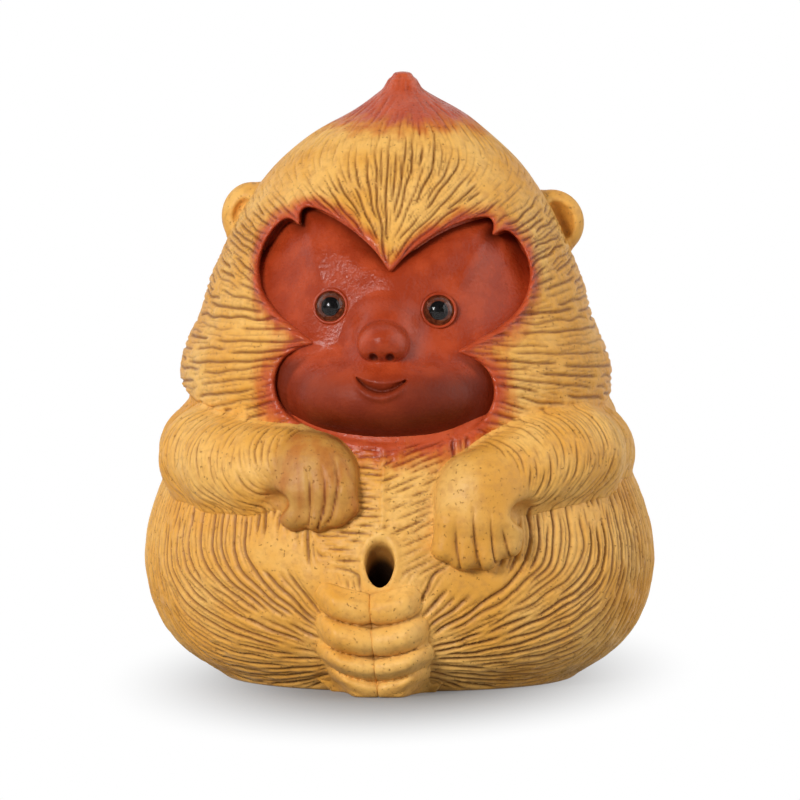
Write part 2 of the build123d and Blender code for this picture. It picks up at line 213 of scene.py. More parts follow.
def outline_distance(x, z):
    """Signed distance to the face outline in the face's own plane, negative inside."""
    run = face_outline()
    best = np.full(np.broadcast_shapes(x.shape, z.shape), 1e6)
    inside = np.zeros(best.shape, dtype=bool)
    for start, end in zip(run, np.roll(run, -1, axis=0)):
        ax, az = end - start
        px, pz = x - start[0], z - start[1]
        share = np.clip((px * ax + pz * az) / (ax * ax + az * az), 0.0, 1.0)
        best = np.minimum(best, (px - share * ax) ** 2 + (pz - share * az) ** 2)
        crosses = (start[1] > z) != (end[1] > z)
        if az != 0:
            inside ^= crosses & (px < pz * ax / az)
    gap = np.sqrt(best)
    return np.where(inside, -gap, gap)


# The outline's distances on a fine grid, worked out once
GRID_STEP = 0.1
GRID_X = np.arange(-32.0, 32.0, GRID_STEP)
GRID_Z = np.arange(28.0, 84.0, GRID_STEP)
GRID_GAP = outline_distance(GRID_X[:, None], GRID_Z[None, :])


def on_face(x, z):
    """Place on the face, which leans a little, from a place on the front view."""
    up = z - FACE_MIDDLE
    across = x * math.cos(FACE_LEAN) - up * math.sin(FACE_LEAN)
    return across, FACE_MIDDLE + up * math.cos(FACE_LEAN) + x * math.sin(FACE_LEAN)


def face_distance(x, z):
    """Signed distance to the face outline from a place on the front view, looked up on the grid."""
    x, z = np.broadcast_arrays(*on_face(x, z))
    across = np.clip((x - GRID_X[0]) / GRID_STEP, 0.0, len(GRID_X) - 1.001)
    up = np.clip((z - GRID_Z[0]) / GRID_STEP, 0.0, len(GRID_Z) - 1.001)
    column, row = across.astype(int), up.astype(int)
    across, up = across - column, up - row
    low = GRID_GAP[column, row] * (1 - across) + GRID_GAP[column + 1, row] * across
    high = GRID_GAP[column, row + 1] * (1 - across) + GRID_GAP[column + 1, row + 1] * across
    return low * (1 - up) + high * up


# Mane: height of its lower edge at some bearings in degrees, and how much lower it is on the right
MANE_BEARINGS = (0, 25, 45, 65, 90, 130, 180)
MANE_HEIGHTS = (37.6, 39.2, 40.6, 42.6, 45.0, 44.5, 43.5)
DROP_BEARINGS = (30, 70, 100, 150)
MANE_DROPS = (0.0, 2.2, 2.4, 0.0)
MANE_RISE = 0.8
MANE_SPAN, MANE_FADE = (-0.6, 1.4), (4.0, 12.0)
MANE_ASIDE = (10.0, 32.0)
NECK_DEPTH = 0.4
NECK_HUMP = (-1.2, 1.3)
# Swellings on the front and the tip: rise, then where
FRONT_SPAN = (4.0, 14.0)
BROW_RISE = 1.1
BROW_HUMP, BROW_SPAN = (0.0, 3.4), (56.0, 64.0)
CHEEK_RISE = 0.7
CHEEK_SPOT = (23.0, 6.0, 50.0, 6.5)
RIDGE_RISE = 0.36
RIDGE_HUMP, RIDGE_SPAN, RIDGE_FADE = (0.0, 0.45), (24.0, 26.5), (36.5, 38.5)
LOBE_RISE = 0.6
LOBE_HUMP, LOBE_SPAN, LOBE_FADE = (0.7, 0.7), (50.0, 54.0), (62.0, 68.0)
TIP_RISE = 0.8
TIP_ASIDE, TIP_REACH, TIP_SPAN = 0.4, 2.4, (88.5, 91.0)
ASKEW_RISE = 0.4
ASKEW_REACH, ASKEW_HUMP = 3.0, (86.8, 2.4)


def mane_edge(turn):
    """Height of the mane's lower edge at a bearing."""
    edge = np.interp(np.degrees(np.abs(turn)), MANE_BEARINGS, MANE_HEIGHTS)
    return edge - np.interp(np.degrees(turn), DROP_BEARINGS, MANE_DROPS)


def skin(place):
    """Field of the body with its mane, brows, cheeks, chest ridge, eye lobes and tip."""
    x, y, z = place
    turn = bearing(place)
    above_edge = z - mane_edge(turn)
    mane = MANE_RISE * between(above_edge, MANE_SPAN, MANE_FADE) - NECK_DEPTH * hump(above_edge, *NECK_HUMP)
    mane = mane * smooth_step(np.degrees(np.abs(turn)), *MANE_ASIDE)
    gap = face_distance(x, z)
    brow = hump(gap, *BROW_HUMP) * smooth_step(z, *BROW_SPAN)
    ridge = hump(x, *RIDGE_HUMP) * smooth_step(z, *RIDGE_SPAN) * (1.0 - smooth_step(z, *RIDGE_FADE))
    lobe = hump(gap, *LOBE_HUMP) * (1.0 - smooth_step(z, *LOBE_FADE)) * smooth_step(z, *LOBE_SPAN)
    forms = BROW_RISE * brow + CHEEK_RISE * spot(x, z, *CHEEK_SPOT) + RIDGE_RISE * ridge + LOBE_RISE * lobe
    tip = TIP_RISE * smooth_step(z, *TIP_SPAN) * np.exp(-(((x - TIP_ASIDE) ** 2 + y**2) / TIP_REACH**2))
    askew = ASKEW_RISE * np.tanh(x / ASKEW_REACH) * hump(z, *ASKEW_HUMP)
    return plain_skin(place) - (mane + smooth_step(-y, *FRONT_SPAN) * forms) - tip - askew


# Spout: bore, a slight flare at its mouth, a rim round it, and how oval it is
SPOUT_RADIUS = 2.3
SPOUT_HEIGHT = 20.9
SPOUT_ASIDE = -0.3
SPOUT_TILT = math.radians(46.0)
SPOUT_DEPTH = 20.0
SPOUT_NARROWING = 1.08
SPOUT_TALLNESS = 0.80
SPOUT_ROUND = 0.4
FLARE, FLARE_HUMP = 0.1, (0.0, 1.2)
SPOUT_RIM_RISE = 0.3
SPOUT_RIM_HUMP, SPOUT_RIM_SPAN = (0.5, 0.6), (20.0, 25.0)
# Pocket for the face, shallow at the chin
POCKET_DEPTH = 3.4
CHIN_DEPTH = 0.5
CHIN_SPAN = (39.0, 45.0)
POCKET_ROUND = 1.2


def spout_place(place):
    """Position against the spout: along its axis and across it."""
    x, y, z = place
    py, pz = y - float(skin_y(0.0, SPOUT_HEIGHT)), z - SPOUT_HEIGHT
    along = -py * math.cos(SPOUT_TILT) + pz * math.sin(SPOUT_TILT)
    lift = py * math.sin(SPOUT_TILT) + pz * math.cos(SPOUT_TILT)
    return along, SPOUT_NARROWING * np.sqrt((x - SPOUT_ASIDE) ** 2 + (SPOUT_TALLNESS * lift) ** 2)


def spout_cut(place):
    along, across = spout_place(place)
    return np.maximum(across - (SPOUT_RADIUS + FLARE * hump(along, *FLARE_HUMP)), -SPOUT_DEPTH - along)


def pocketed(place):
    """The skin with the pocket for the face."""
    x, y, z = place
    outer = skin(place)
    depth = CHIN_DEPTH + (POCKET_DEPTH - CHIN_DEPTH) * smooth_step(z, *CHIN_SPAN)
    pocket = np.maximum(np.maximum(face_distance(x, z), -depth - outer), y - FACE_BACK)
    return smooth_max(outer, -pocket, POCKET_ROUND)


def body(place):
    """The body with its face pocket, spout and base opening."""
    x, y, z = place
    _, across = spout_place(place)
    rim = SPOUT_RIM_RISE * hump(across - SPOUT_RADIUS, *SPOUT_RIM_HUMP) * smooth_step(-y, *SPOUT_RIM_SPAN)
    field = smooth_max(pocketed(place) - rim, -spout_cut(place), SPOUT_ROUND)
    ring = np.sqrt((x / BASE_HALF[0]) ** 2 + (y / BASE_HALF[1]) ** 2)
    base = np.maximum(ring - 1.0 - BASE_PLAY_SHARE, 0) * BASE_HALF[1]
    base = np.where(base > 0, base, -1.0)
    return np.maximum(field, -np.maximum(base, z - BASE_THICKNESS - SLIP))


# Arms: bearing in degrees, height, depth of the middle under the skin, radius
SHOULDER = ((126, 39.4, 7.8, 4.6), (104, 38.4, 6.6, 7.2), (84, 34.8, 5.6, 7.4))
ARM_STATIONS = {
    -1: SHOULDER + (
        (62, 34.4, 3.6, 7.8), (47, 33.7, 2.6, 7.5), (35, 33.6, 1.7, 6.8),
        (25, 34.4, 0.9, 5.8), (18, 34.6, 0.6, 4.9),
    ),
    1: SHOULDER + (
        (63, 35.0, 3.7, 7.8), (50, 34.8, 2.6, 7.4), (40, 34.2, 1.7, 6.8),
        (31, 32.8, 0.9, 6.0), (24, 31.6, 0.6, 5.4),
    ),
}
ARM_BLEND = 2.2
WRIST_BLEND = 1.6
# Fingers: (sideways place and height of the knuckle, the same for the tip, radius)
FINGERS = {
    -1: (
        (-12.6, 34.4, -13.5, 27.9, 2.75), (-9.9, 35.0, -9.9, 27.4, 2.3),
        (-7.7, 34.8, -7.0, 27.9, 2.0), (-6.2, 34.0, -5.0, 29.2, 1.7),
    ),
    1: (
        (10.6, 31.2, 9.4, 23.0, 2.1), (13.0, 31.6, 12.3, 21.8, 2.4),
        (15.8, 31.2, 15.6, 21.9, 2.55), (18.2, 30.2, 18.7, 23.6, 2.6),
    ),
}
FINGER_STANDOFF = 1.5
FINGER_ARCH = 0.9
FINGER_BEND = 0.25
FINGER_SHARES = (0.95, 1.02, 0.9)
FINGER_BLEND = 1.0
FINGERS_BLEND = 1.2
# Backs of the hands: centre across and height, half sizes
HAND_BACKS = {-1: ((-10.2, 33.8), (5.9, 4.7, 5.9)), 1: ((14.4, 30.4), (6.5, 5.0, 6.8))}
HAND_STANDOFF = 0.8
HAND_BLEND = 2.2
# Crooks between the hand and the arm: place across, height and radius
CROOKS = {-1: (-16.4, 29.6, 2.0), 1: (21.2, 28.0, 2.2)}
CROOK_SHARES = (1.2, 1.5, 0.8)
CROOK_STANDOFF = 3.6
CROOK_BLEND = 1.8


def arm_line(side):
    """Middle points and radii of an arm."""
    points, radii = [], []
    for degrees, height, depth, radius in ARM_STATIONS[side]:
        turn = math.radians(degrees)
        half = float(half_width(height)) - depth
        across = side * half * math.sin(turn) + float(lean(height))
        points.append((across, -half * BODY_DEPTH / BODY_WIDTH * math.cos(turn), height))
        radii.append(radius)
    return points, radii


def on_belly(across, height, standoff):
    return (across, float(skin_y(across, height)) - standoff, height)


def hand(place, side):
    (across, height), half_sizes = HAND_BACKS[side]
    fingers = []
    for knuckle_x, knuckle_z, tip_x, tip_z, radius in FINGERS[side]:
        middle_x = (knuckle_x + tip_x) / 2 + FINGER_BEND * side
        points = (
            on_belly(knuckle_x, knuckle_z, FINGER_STANDOFF),
            on_belly(middle_x, (knuckle_z + tip_z) / 2, FINGER_STANDOFF + FINGER_ARCH),
            on_belly(tip_x, tip_z, FINGER_STANDOFF),
        )
        fingers.append(tube(place, points, [radius * share for share in FINGER_SHARES], FINGER_BLEND))
    back = ball(place, on_belly(across, height, HAND_STANDOFF), half_sizes)
    return smooth_min(back, joined(fingers, FINGERS_BLEND), HAND_BLEND)


def arm(place, side):
    field = smooth_min(tube(place, *arm_line(side), ARM_BLEND), hand(place, side), WRIST_BLEND)
    across, height, radius = CROOKS[side]
    pit = ball(place, on_belly(across, height, CROOK_STANDOFF), [radius * share for share in CROOK_SHARES])
    return smooth_max(field, -pit, CROOK_BLEND)


# Feet: the front of a low mass at some heights, and the heights of the grooves between the rows of toes
FOOT_HEIGHTS = (0.0, 1.5, 4.0, 8.0, 12.0, 14.8, 16.2, 17.4, 18.6)
FOOT_FRONTS = (-30.6, -32.2, -34.2, -35.5, -35.7, -35.2, -34.2, -32.2, -28.0)
FOOT_ROWS = (-2.0, 2.6, 6.4, 11.2, 17.2)
FOOT_HALF = 9.4
FOOT_REACH = 3.0
FOOT_ROUND = 0.5
FOOT_STEEPNESS = 0.7
# The line between the feet, and how the feet narrow near the floor
FOOT_MIDDLE = -1.2
FOOT_SLANT = -0.07
FOOT_PIVOT = 7.0
FOOT_GAP = 0.1
NARROW_HEIGHTS, NARROW_SHARES = (0.0, 2.5, 6.0), (1.6, 1.2, 1.0)
# Toes: swelling, rise of the rows away from the middle, where they end, and how the mass falls back there
TOE_PUFF = 2.3
TOE_LIFT, TOE_LIFT_AT, TOE_LIFT_END = 2.6, 9.0, 12.0
TOE_MIDDLE, TOE_HALF = 3.9, 5.4
TOE_ROUNDNESS, TOP_TOE_ROUNDNESS = 0.65, 1.5
FOOT_FALL, FOOT_FALL_SPAN = 6.5, (5.2, FOOT_HALF + 1.8)


def foot_middle(z):
    return FOOT_MIDDLE + FOOT_SLANT * (z - FOOT_PIVOT)


def foot_off(x, z, side):
    """Distance out from the line between the feet, stretched near the floor where they narrow."""
    off = side * (x - FOOT_MIDDLE - FOOT_SLANT * (z - FOOT_PIVOT))
    return off * np.interp(z, NARROW_HEIGHTS, NARROW_SHARES)


def foot_puff(off, z):
    """How far the toes swell, from 0 in the grooves to 1, and the height along the rows."""
    level = z - TOE_LIFT * (np.clip(off, 0.0, TOE_LIFT_END) / TOE_LIFT_AT) ** 2
    ends = np.clip((off - TOE_MIDDLE) / TOE_HALF, -1.0, 1.0) ** 4
    puff = 0.0
    for low, high in zip(FOOT_ROWS, FOOT_ROWS[1:]):
        share = 2.0 * (level - low) / (high - low) - 1.0
        on_top = (high == FOOT_ROWS[-1]) & (share > 0)
        roundness = np.where(on_top, TOP_TOE_ROUNDNESS, TOE_ROUNDNESS)
        puff = puff + np.clip(1.0 - share * share - ends, 0.0, 1.0) ** roundness
    return puff, level


def foot(place, side):
    x, y, z = place
    off = foot_off(x, z, side)
    puff, level = foot_puff(off, z)
    front = np.interp(level, FOOT_HEIGHTS, FOOT_FRONTS) - TOE_PUFF * puff
    front = front + FOOT_FALL * smooth_step(off, *FOOT_FALL_SPAN)
    sides = np.maximum(np.maximum(-FOOT_GAP - off, off - FOOT_HALF - FOOT_REACH), z - FOOT_HEIGHTS[-1])
    return smooth_max(np.maximum(FOOT_STEEPNESS * (front - y), sides), -z, FOOT_ROUND)


# Ears: centre, half sizes, then the hollow's centre and half sizes
EARS = {
    -1: ((-22.8, 1.6, 70.4), (4.7, 3.4, 5.2), (-23.2, -1.6, 70.1), (2.6, 2.9, 3.4)),
    1: ((22.9, 4.4, 69.4), (5.0, 3.4, 5.1), (23.6, 1.2, 69.5), (3.1, 3.3, 3.6)),
}
EAR_ROUND = 0.8


def ear(place, side):
    centre, half_sizes, hollow_centre, hollow_sizes = EARS[side]
    return smooth_max(ball(place, centre, half_sizes), -ball(place, hollow_centre, hollow_sizes), EAR_ROUND)


# Red face: how deep it lies, and its edge groove, bridge, brows, dished lobes and folds
FACE_SUNK = 1.0
OVERHANG_SPAN = (63.0, 68.0)
CUP_SPAN, CUP_FADE = (50.5, 53.0), (60.0, 66.0)
EDGE_DEPTH, EDGE_UNDER_BROW, EDGE_IN_CUP = 0.4, 1.3, 0.9
EDGE_REACH, EDGE_REACH_MORE = 1.5, 0.5
BRIDGE_RISE = 1.1
BRIDGE_HUMP, BRIDGE_SPAN, BRIDGE_FADE = (0.0, 5.2), (52.0, 58.0), (64.0, 68.5)
FACE_BROW_RISE, FACE_BROW_SPOT = 0.5, (8.2, 4.2, 66.6, 2.6)
DISH_DEPTH, DISH_SPOT = 1.2, (16.6, 4.6, 61.5, 6.0)
FOLD_RISE = 0.55
FOLD_ACROSS, FOLD_HEIGHT, FOLD_SLOPE = 12.4, 66.0, 0.42
FOLD_HUMP, FOLD_SPAN = (0.0, 1.5), (60.5, 64.0)
MASK_LAP = 0.7
MASK_THICKNESS = 2.4
# Eyes: place of each on the front view, and how much its look keeps of the face's own direction
EYE_SPOTS = {-1: (-8.6, 58.7), 1: (7.8, 58.2)}
EYE_TURN_SHARES = (0.6, 1.0, 0.8)
EYE_PROBE = 0.5
LENS_RADIUS = 2.5
LENS_RISE = 1.9
LENS_SEAT = 0.25
SOCKET_DEPTH = 1.3
SOCKET_ROUND = 0.3


def face(place):
    """Field of the red face's front, without its edge and before the muzzle."""
    x, z = on_face(place[0], place[2])
    gap = face_distance(place[0], place[2])
    overhang = smooth_step(z, *OVERHANG_SPAN)
    edge = np.exp(np.minimum(gap, 0.0) / (EDGE_REACH + EDGE_REACH_MORE * overhang))
    edge = edge * (EDGE_DEPTH + EDGE_UNDER_BROW * overhang - EDGE_IN_CUP * between(z, CUP_SPAN, CUP_FADE))
    bridge = hump(x, *BRIDGE_HUMP) * smooth_step(z, *BRIDGE_SPAN) * (1.0 - smooth_step(z, *BRIDGE_FADE))
    fold = np.abs(x) - FOLD_ACROSS - FOLD_SLOPE * (z - FOLD_HEIGHT)
    fold = hump(fold, *FOLD_HUMP) * smooth_step(z, *FOLD_SPAN)
    level = FACE_SUNK + edge - BRIDGE_RISE * bridge - FACE_BROW_RISE * spot(x, z, *FACE_BROW_SPOT)
    return plain_skin(place) + (level + DISH_DEPTH * spot(x, z, *DISH_SPOT) - FOLD_RISE * fold)


def eye_seat(side):
    """The middle of an eye on the face's surface and the way that it looks."""
    x, z = EYE_SPOTS[side]
    y = float(skin_y(x, z))
    for _ in range(6):
        y += float(face((x, y, z)))
    middle = np.array((x, y, z))
    steps = EYE_PROBE * np.eye(3)
    outward = np.array([float(plain_skin(middle + step) - plain_skin(middle - step)) for step in steps])
    outward = outward * EYE_TURN_SHARES
    return (x, y, z), outward / np.linalg.norm(outward)


EYE_SEATS = {side: eye_seat(side) for side in SIDES.values()}


def cut_sockets(place, field):
    """A field with the round seats of the eyes taken out."""
    for seat, outward in EYE_SEATS.values():
        offset = [value - middle for value, middle in zip(place, seat)]
        along = sum(one * way for one, way in zip(offset, outward))
        across = np.sqrt(np.maximum(sum(one * one for one in offset) - along * along, 0.0))
        socket = np.maximum(across - LENS_RADIUS - SLIP, -SOCKET_DEPTH - along)
        field = smooth_max(field, -socket, SOCKET_ROUND)
    return field


def face_mask(place):
    x, y, z = place
    front = face(place)
    whole = np.maximum(front, face_distance(x, z) - MASK_LAP)
    return cut_sockets(place, np.maximum(whole, np.maximum(-MASK_THICKNESS - front, y - FACE_BACK)))


# Muzzle: a wide pad, two puffs a little behind its middle, and the root of the nose
PAD_PLACE, PAD_SUNK, PAD_HALF = (-0.2, 45.4), 5.6, (13.7, 10.7, 6.7)
PUFF_PLACES, PUFF_BACK, PUFF_HALF = ((-6.9, 45.9), (6.1, 45.3)), 1.0, (7.0, 7.9, 6.0)
NOSE_ROOT_PLACE, NOSE_ROOT_SUNK, NOSE_ROOT_HALF = (-0.1, 53.6), 3.2, (5.6, 6.2, 6.6)
PUFF_BLEND = 3.0
PAD_BLEND = 2.0
NOSE_ROOT_BLEND = 3.0
MUZZLE_BLEND = 1.8
MUZZLE_EDGE = 0.25
MUZZLE_SKIRT = 0.1
# Mouth: half width, heights of the lower and upper edge at the middle, and how much each rises at the ends
MOUTH_REACH = 4.2
MOUTH_LOWER, MOUTH_LOWER_RISE = 46.5, 2.2
MOUTH_UPPER, MOUTH_UPPER_RISE = 47.9, 0.9
MOUTH_ENDS = 0.7
MOUTH_CLOSING = (1.0, 1.28)
MOUTH_DEPTH = 1.3
LIP_RISE = 0.55
LIP_HEIGHT, LIP_HUMP, LIP_FADE = 45.6, (0.0, 0.6), (2.6, 4.6)
# Nose: a button with two wings and nostrils, placed against its middle
NOSE_PLACE, NOSE_AHEAD, NOSE_HALF = (-0.2, 54.0), 1.8, (3.75, 5.0, 3.15)
WING_OFFSET, WING_HALF = (2.1, -1.0, -1.0), (1.5, 2.4, 1.6)
NOSTRIL_OFFSET, NOSTRIL_HALF = (1.25, -3.3, -2.5), (0.60, 1.6, 0.80)
WING_BLEND = 1.4
NOSTRIL_ROUND = 0.4
NOSE_BLEND = 0.5
NOSE_SKIRT = 1.6
# How far the muzzle and nose start under the surface that carries them
MUZZLE_UNDER = 0.04
NOSE_UNDER = 0.08


def muzzle_form(place):
    middle_y = float(skin_y(0.0, PAD_PLACE[1])) + PAD_SUNK
    pad = ball(place, (PAD_PLACE[0], middle_y, PAD_PLACE[1]), PAD_HALF)
    puffs = [ball(place, (across, middle_y + PUFF_BACK, height), PUFF_HALF) for across, height in PUFF_PLACES]
    root_y = float(skin_y(0.0, NOSE_ROOT_PLACE[1])) + NOSE_ROOT_SUNK
    root = ball(place, (NOSE_ROOT_PLACE[0], root_y, NOSE_ROOT_PLACE[1]), NOSE_ROOT_HALF)
    return smooth_min(smooth_min(pad, joined(puffs, PUFF_BLEND), PAD_BLEND), root, NOSE_ROOT_BLEND)


def mouth_depth(x, z):
    """A smile: how far it is pressed in, from 0 at its upper edge to 1 at its sagging lower edge."""
    x, z = on_face(x, z)
    share = np.clip(np.abs(x) / MOUTH_REACH, 0.0, 1.0)
    lower = MOUTH_LOWER + MOUTH_LOWER_RISE * share**2
    upper = MOUTH_UPPER + MOUTH_UPPER_RISE * share**2
    down = (upper - z) / (upper - lower)
    ends = 1.0 - smooth_step(np.abs(x), MOUTH_REACH - MOUTH_ENDS, MOUTH_REACH)
    return np.clip(down, 0.0, 1.0) * (1.0 - smooth_step(down, *MOUTH_CLOSING)) * ends


def muzzle(place):
    x, _, z = place
    fx, fz = on_face(x, z)
    lip = hump(fz - LIP_HEIGHT - MOUTH_LOWER_RISE * (fx / MOUTH_REACH) ** 2, *LIP_HUMP)
    lip = lip * (1 - smooth_step(np.abs(fx), *LIP_FADE))
    form = muzzle_form(place) - LIP_RISE * lip + MOUTH_DEPTH * mouth_depth(x, z)
    whole = smooth_min(face(place) + MUZZLE_UNDER, form, MUZZLE_BLEND)
    inside = np.maximum(whole, np.minimum(face_distance(x, z) + MUZZLE_EDGE, form))
    return cut_sockets(place, np.maximum(inside, form - MUZZLE_BLEND - MUZZLE_SKIRT))


def by_nose(side, offset):
    """A place beside the nose's middle."""
    middle_y = float(skin_y(0.0, NOSE_PLACE[1])) - NOSE_AHEAD
    return NOSE_PLACE[0] + side * offset[0], middle_y + offset[1], NOSE_PLACE[1] + offset[2]


def nostril(place, side):
    return ball(place, by_nose(side, NOSTRIL_OFFSET), NOSTRIL_HALF)


def nose(place):
    button = ball(place, by_nose(0, (0.0, 0.0, 0.0)), NOSE_HALF)
    wings = [ball(place, by_nose(side, WING_OFFSET), WING_HALF) for side in SIDES.values()]
    button = joined([button] + wings, WING_BLEND)
    for side in SIDES.values():
        button = smooth_max(button, -nostril(place, side), NOSTRIL_ROUND)
    ground = smooth_min(face(place) + NOSE_UNDER, muzzle_form(place) + NOSE_UNDER, MUZZLE_BLEND)
    return np.maximum(smooth_min(ground, button, NOSE_BLEND), button - NOSE_SKIRT)


# Parts that swell out of the skin: depth where they start, then each one's blend and reach
EMERGE = 0.15
ARM_ON_SKIN = (1.3, 2.6)
FOOT_ON_SKIN = (1.6, 2.6)
EAR_ON_SKIN = (1.2, 2.2)
FOOT_SPLIT = 0.05


def on_skin(part, side, blend, reach):
    """Field function of a part that swells out of the body's skin."""

    def field(place):
        form = part(place, side)
        return np.maximum(smooth_min(pocketed(place) + EMERGE, form, blend), form - reach)

    return field


def foot_on_skin(side):
    """Field function of a foot that ends at the middle line and leaves the spout open."""
    swelling = on_skin(foot, side, *FOOT_ON_SKIN)

    def field(place):
        x, _, z = place
        whole = np.maximum(swelling(place), side * (foot_middle(z) - x) - FOOT_SPLIT)
        return np.maximum(whole, -spout_cut(place))

    return field


# Grid steps of the surfaces, the block of cells worked out at once, the kept depth of a field, and smoothing
STEP_BODY = 0.28
STEP_LIMB = 0.26
STEP_FACE = 0.22
BLOCK = 24
BLOCK_NEAR = 1.3
FIELD_STEPS = 3
SMOOTHING = (0.5, -0.52)
SMOOTHING_ROUNDS = 2
# Boxes that hold the parts: room round the body, an arm's middle line and an ear's middle, where an arm's
# box ends, and the corners of the others, a foot's measured out from the line between the feet
BODY_ROOM = (3.0, 3.0, 1.5)
ARM_ROOM = 9.0
ARM_FRONT, ARM_BOTTOM = -43.0, 16.0
ARM_INNER = {-1: -1.0, 1: 4.0}
EAR_ROOM = 9.0
FOOT_BOX = ((-1.0, -42.0, -1.0), (16.0, -20.0, 22.0))
MASK_BOX = ((-23.0, -36.0, 36.5), (23.0, -8.0, 74.0))
MUZZLE_BOX = ((-21.0, -42.0, 36.0), (21.0, -14.0, 62.0))
NOSE_BOX = ((-8.0, -42.0, 47.0), (8.0, -24.0, 62.0))


def sampled(field, axes, step):
    """Field values on a grid, worked out only in the blocks that may hold the surface."""
    starts = [np.arange(0, len(axis), BLOCK) for axis in axes]
    middles = [axis[np.minimum(begin + BLOCK // 2, len(axis) - 1)] for axis, begin in zip(axes, starts)]
    guess = field(np.ix_(*middles))
    values = np.empty([len(axis) for axis in axes], dtype=np.float32)
    for block in np.ndindex(guess.shape):
        spans = tuple(slice(begin[i], begin[i] + BLOCK) for begin, i in zip(starts, block))
        if abs(guess[block]) > BLOCK_NEAR * BLOCK * step:
            values[spans] = math.copysign(FIELD_STEPS * step, guess[block])
        else:
            values[spans] = field(np.ix_(*(axis[span] for axis, span in zip(axes, spans))))
    return np.clip(values, -FIELD_STEPS * step, FIELD_STEPS * step)


def surface(field, low, high, step):
    """Points and four-sided faces of a field's zero level inside a box."""
    counts = [int(math.ceil((high[i] - low[i]) / step)) + 1 for i in range(3)]
    axes = [low[i] + step * np.arange(counts[i], dtype=np.float32) for i in range(3)]
    values = sampled(field, axes, step)
    for axis, end in itertools.product(range(3), (0, -1)):
        np.moveaxis(values, axis, 0)[end] = FIELD_STEPS * step
    grid = openvdb.FloatGrid()
    grid.background = FIELD_STEPS * step
    grid.copyFromArray(np.ascontiguousarray(values))
    points, quads = grid.convertToQuads(0.0)
    points = points.astype(np.float64) * step + np.array(low)
    quads = quads.astype(np.int64)
    a, b, c, d = (points[quads[:, i]] for i in range(4))
    volume = np.einsum("ij,ij->i", a, np.cross(b, c)).sum() + np.einsum("ij,ij->i", a, np.cross(c, d)).sum()
    return points, quads if volume > 0 else quads[:, ::-1]


def normals(points, quads):
    corners = points[quads]
    across = np.cross(corners[:, 2] - corners[:, 0], corners[:, 3] - corners[:, 1])
    total = np.zeros_like(points)
    for index in range(4):
        np.add.at(total, quads[:, index], across)
    return total / np.maximum(np.linalg.norm(total, axis=1, keepdims=True), 1e-9)


def smooth_points(points, quads):
    """Evens out the small steps that a grid leaves in a surface."""
    first, second = np.concatenate([quads[:, (i, (i + 1) % 4)] for i in range(4)]).T
    whole = len(points)
    count = (np.bincount(first, minlength=whole) + np.bincount(second, minlength=whole))[:, None]
    for amount in SMOOTHING * SMOOTHING_ROUNDS:
        total = np.zeros_like(points)
        for axis in range(3):
            total[:, axis] = np.bincount(first, weights=points[second, axis], minlength=whole)
            total[:, axis] += np.bincount(second, weights=points[first, axis], minlength=whole)
        points = points + amount * (total / np.maximum(count, 1) - points)
    return points


def arm_surface(side):
    points = np.array(arm_line(side)[0])
    low, high = (points.min(axis=0) - ARM_ROOM).tolist(), (points.max(axis=0) + ARM_ROOM).tolist()
    low[1], low[2] = ARM_FRONT, ARM_BOTTOM
    inner = low if side > 0 else high
    inner[0] = ARM_INNER[side]
    return surface(on_skin(arm, side, *ARM_ON_SKIN), low, high, STEP_LIMB)


def foot_surface(side):
    low, high = FOOT_BOX
    near, far = sorted((FOOT_MIDDLE + side * low[0], FOOT_MIDDLE + side * high[0]))
    return surface(foot_on_skin(side), (near,) + low[1:], (far,) + high[1:], STEP_LIMB)


def ear_surface(side):
    low, high = ([value + room for value in EARS[side][0]] for room in (-EAR_ROOM, EAR_ROOM))
    return surface(on_skin(ear, side, *EAR_ON_SKIN), low, high, STEP_FACE)


def raw_surfaces():
    """The unfurred surface of each modelled part."""
    parts = {}
    half = (BODY_WIDTH / 2 + BODY_ROOM[0], BODY_DEPTH / 2 + BODY_ROOM[1])
    low, high = (-half[0], -half[1], -BODY_ROOM[2]), (half[0], half[1], BODY_HEIGHT + BODY_ROOM[2])
    parts["body"] = surface(body, low, high, STEP_BODY)
    for name, side in SIDES.items():
        parts["arm_" + name] = arm_surface(side)
        parts["foot_" + name] = foot_surface(side)
        parts["ear_" + name] = ear_surface(side)
    parts["face_mask"] = surface(face_mask, *MASK_BOX, STEP_FACE)
    parts["muzzle"] = surface(muzzle, *MUZZLE_BOX, STEP_FACE)
    parts["nose"] = surface(nose, *NOSE_BOX, STEP_FACE)
    return {name: (smooth_points(points, quads), quads) for name, (points, quads) in parts.items()}


# Fur strokes on the head: spacing, depth, width, length, each with its change on the forehead and the crown
HEAD_FUR = ((1.28, -0.30, -0.12), (0.54, 0.20, -0.48), (0.38, -0.05, -0.05), (30.0, 0.0, -20.0))
# The same on the torso, each with its change on the chest, and plainly on the arms
TORSO_FUR = ((1.42, -0.50), (0.68, -0.10), (0.42, -0.08), (36.0, -28.0))
ARM_FUR = (1.05, 0.40, 0.34, 11.0)
# Head strokes fan out from a middle that rises with height; those on top and behind stand upright
HEAD_GIRTH = 27.0
FAN_HEIGHT, FAN_RISE, FAN_SPAN = 57.0, 7.0, (62.0, 70.0)
FAN_BELOW = 0.3
TOP_SPAN = (75.0, 87.0)
BEHIND_SPAN = (1.5, 2.3)
BROW_PEAK = 64.5
CROWN_FAR, CROWN_FAR_RIGHT = (13.0, 20.0), 5.0
RIGHT_SPAN = (0.0, 6.0)
CROWN_SPAN = (69.0, 76.0)
FORE_SPAN = (60.0, 66.0)
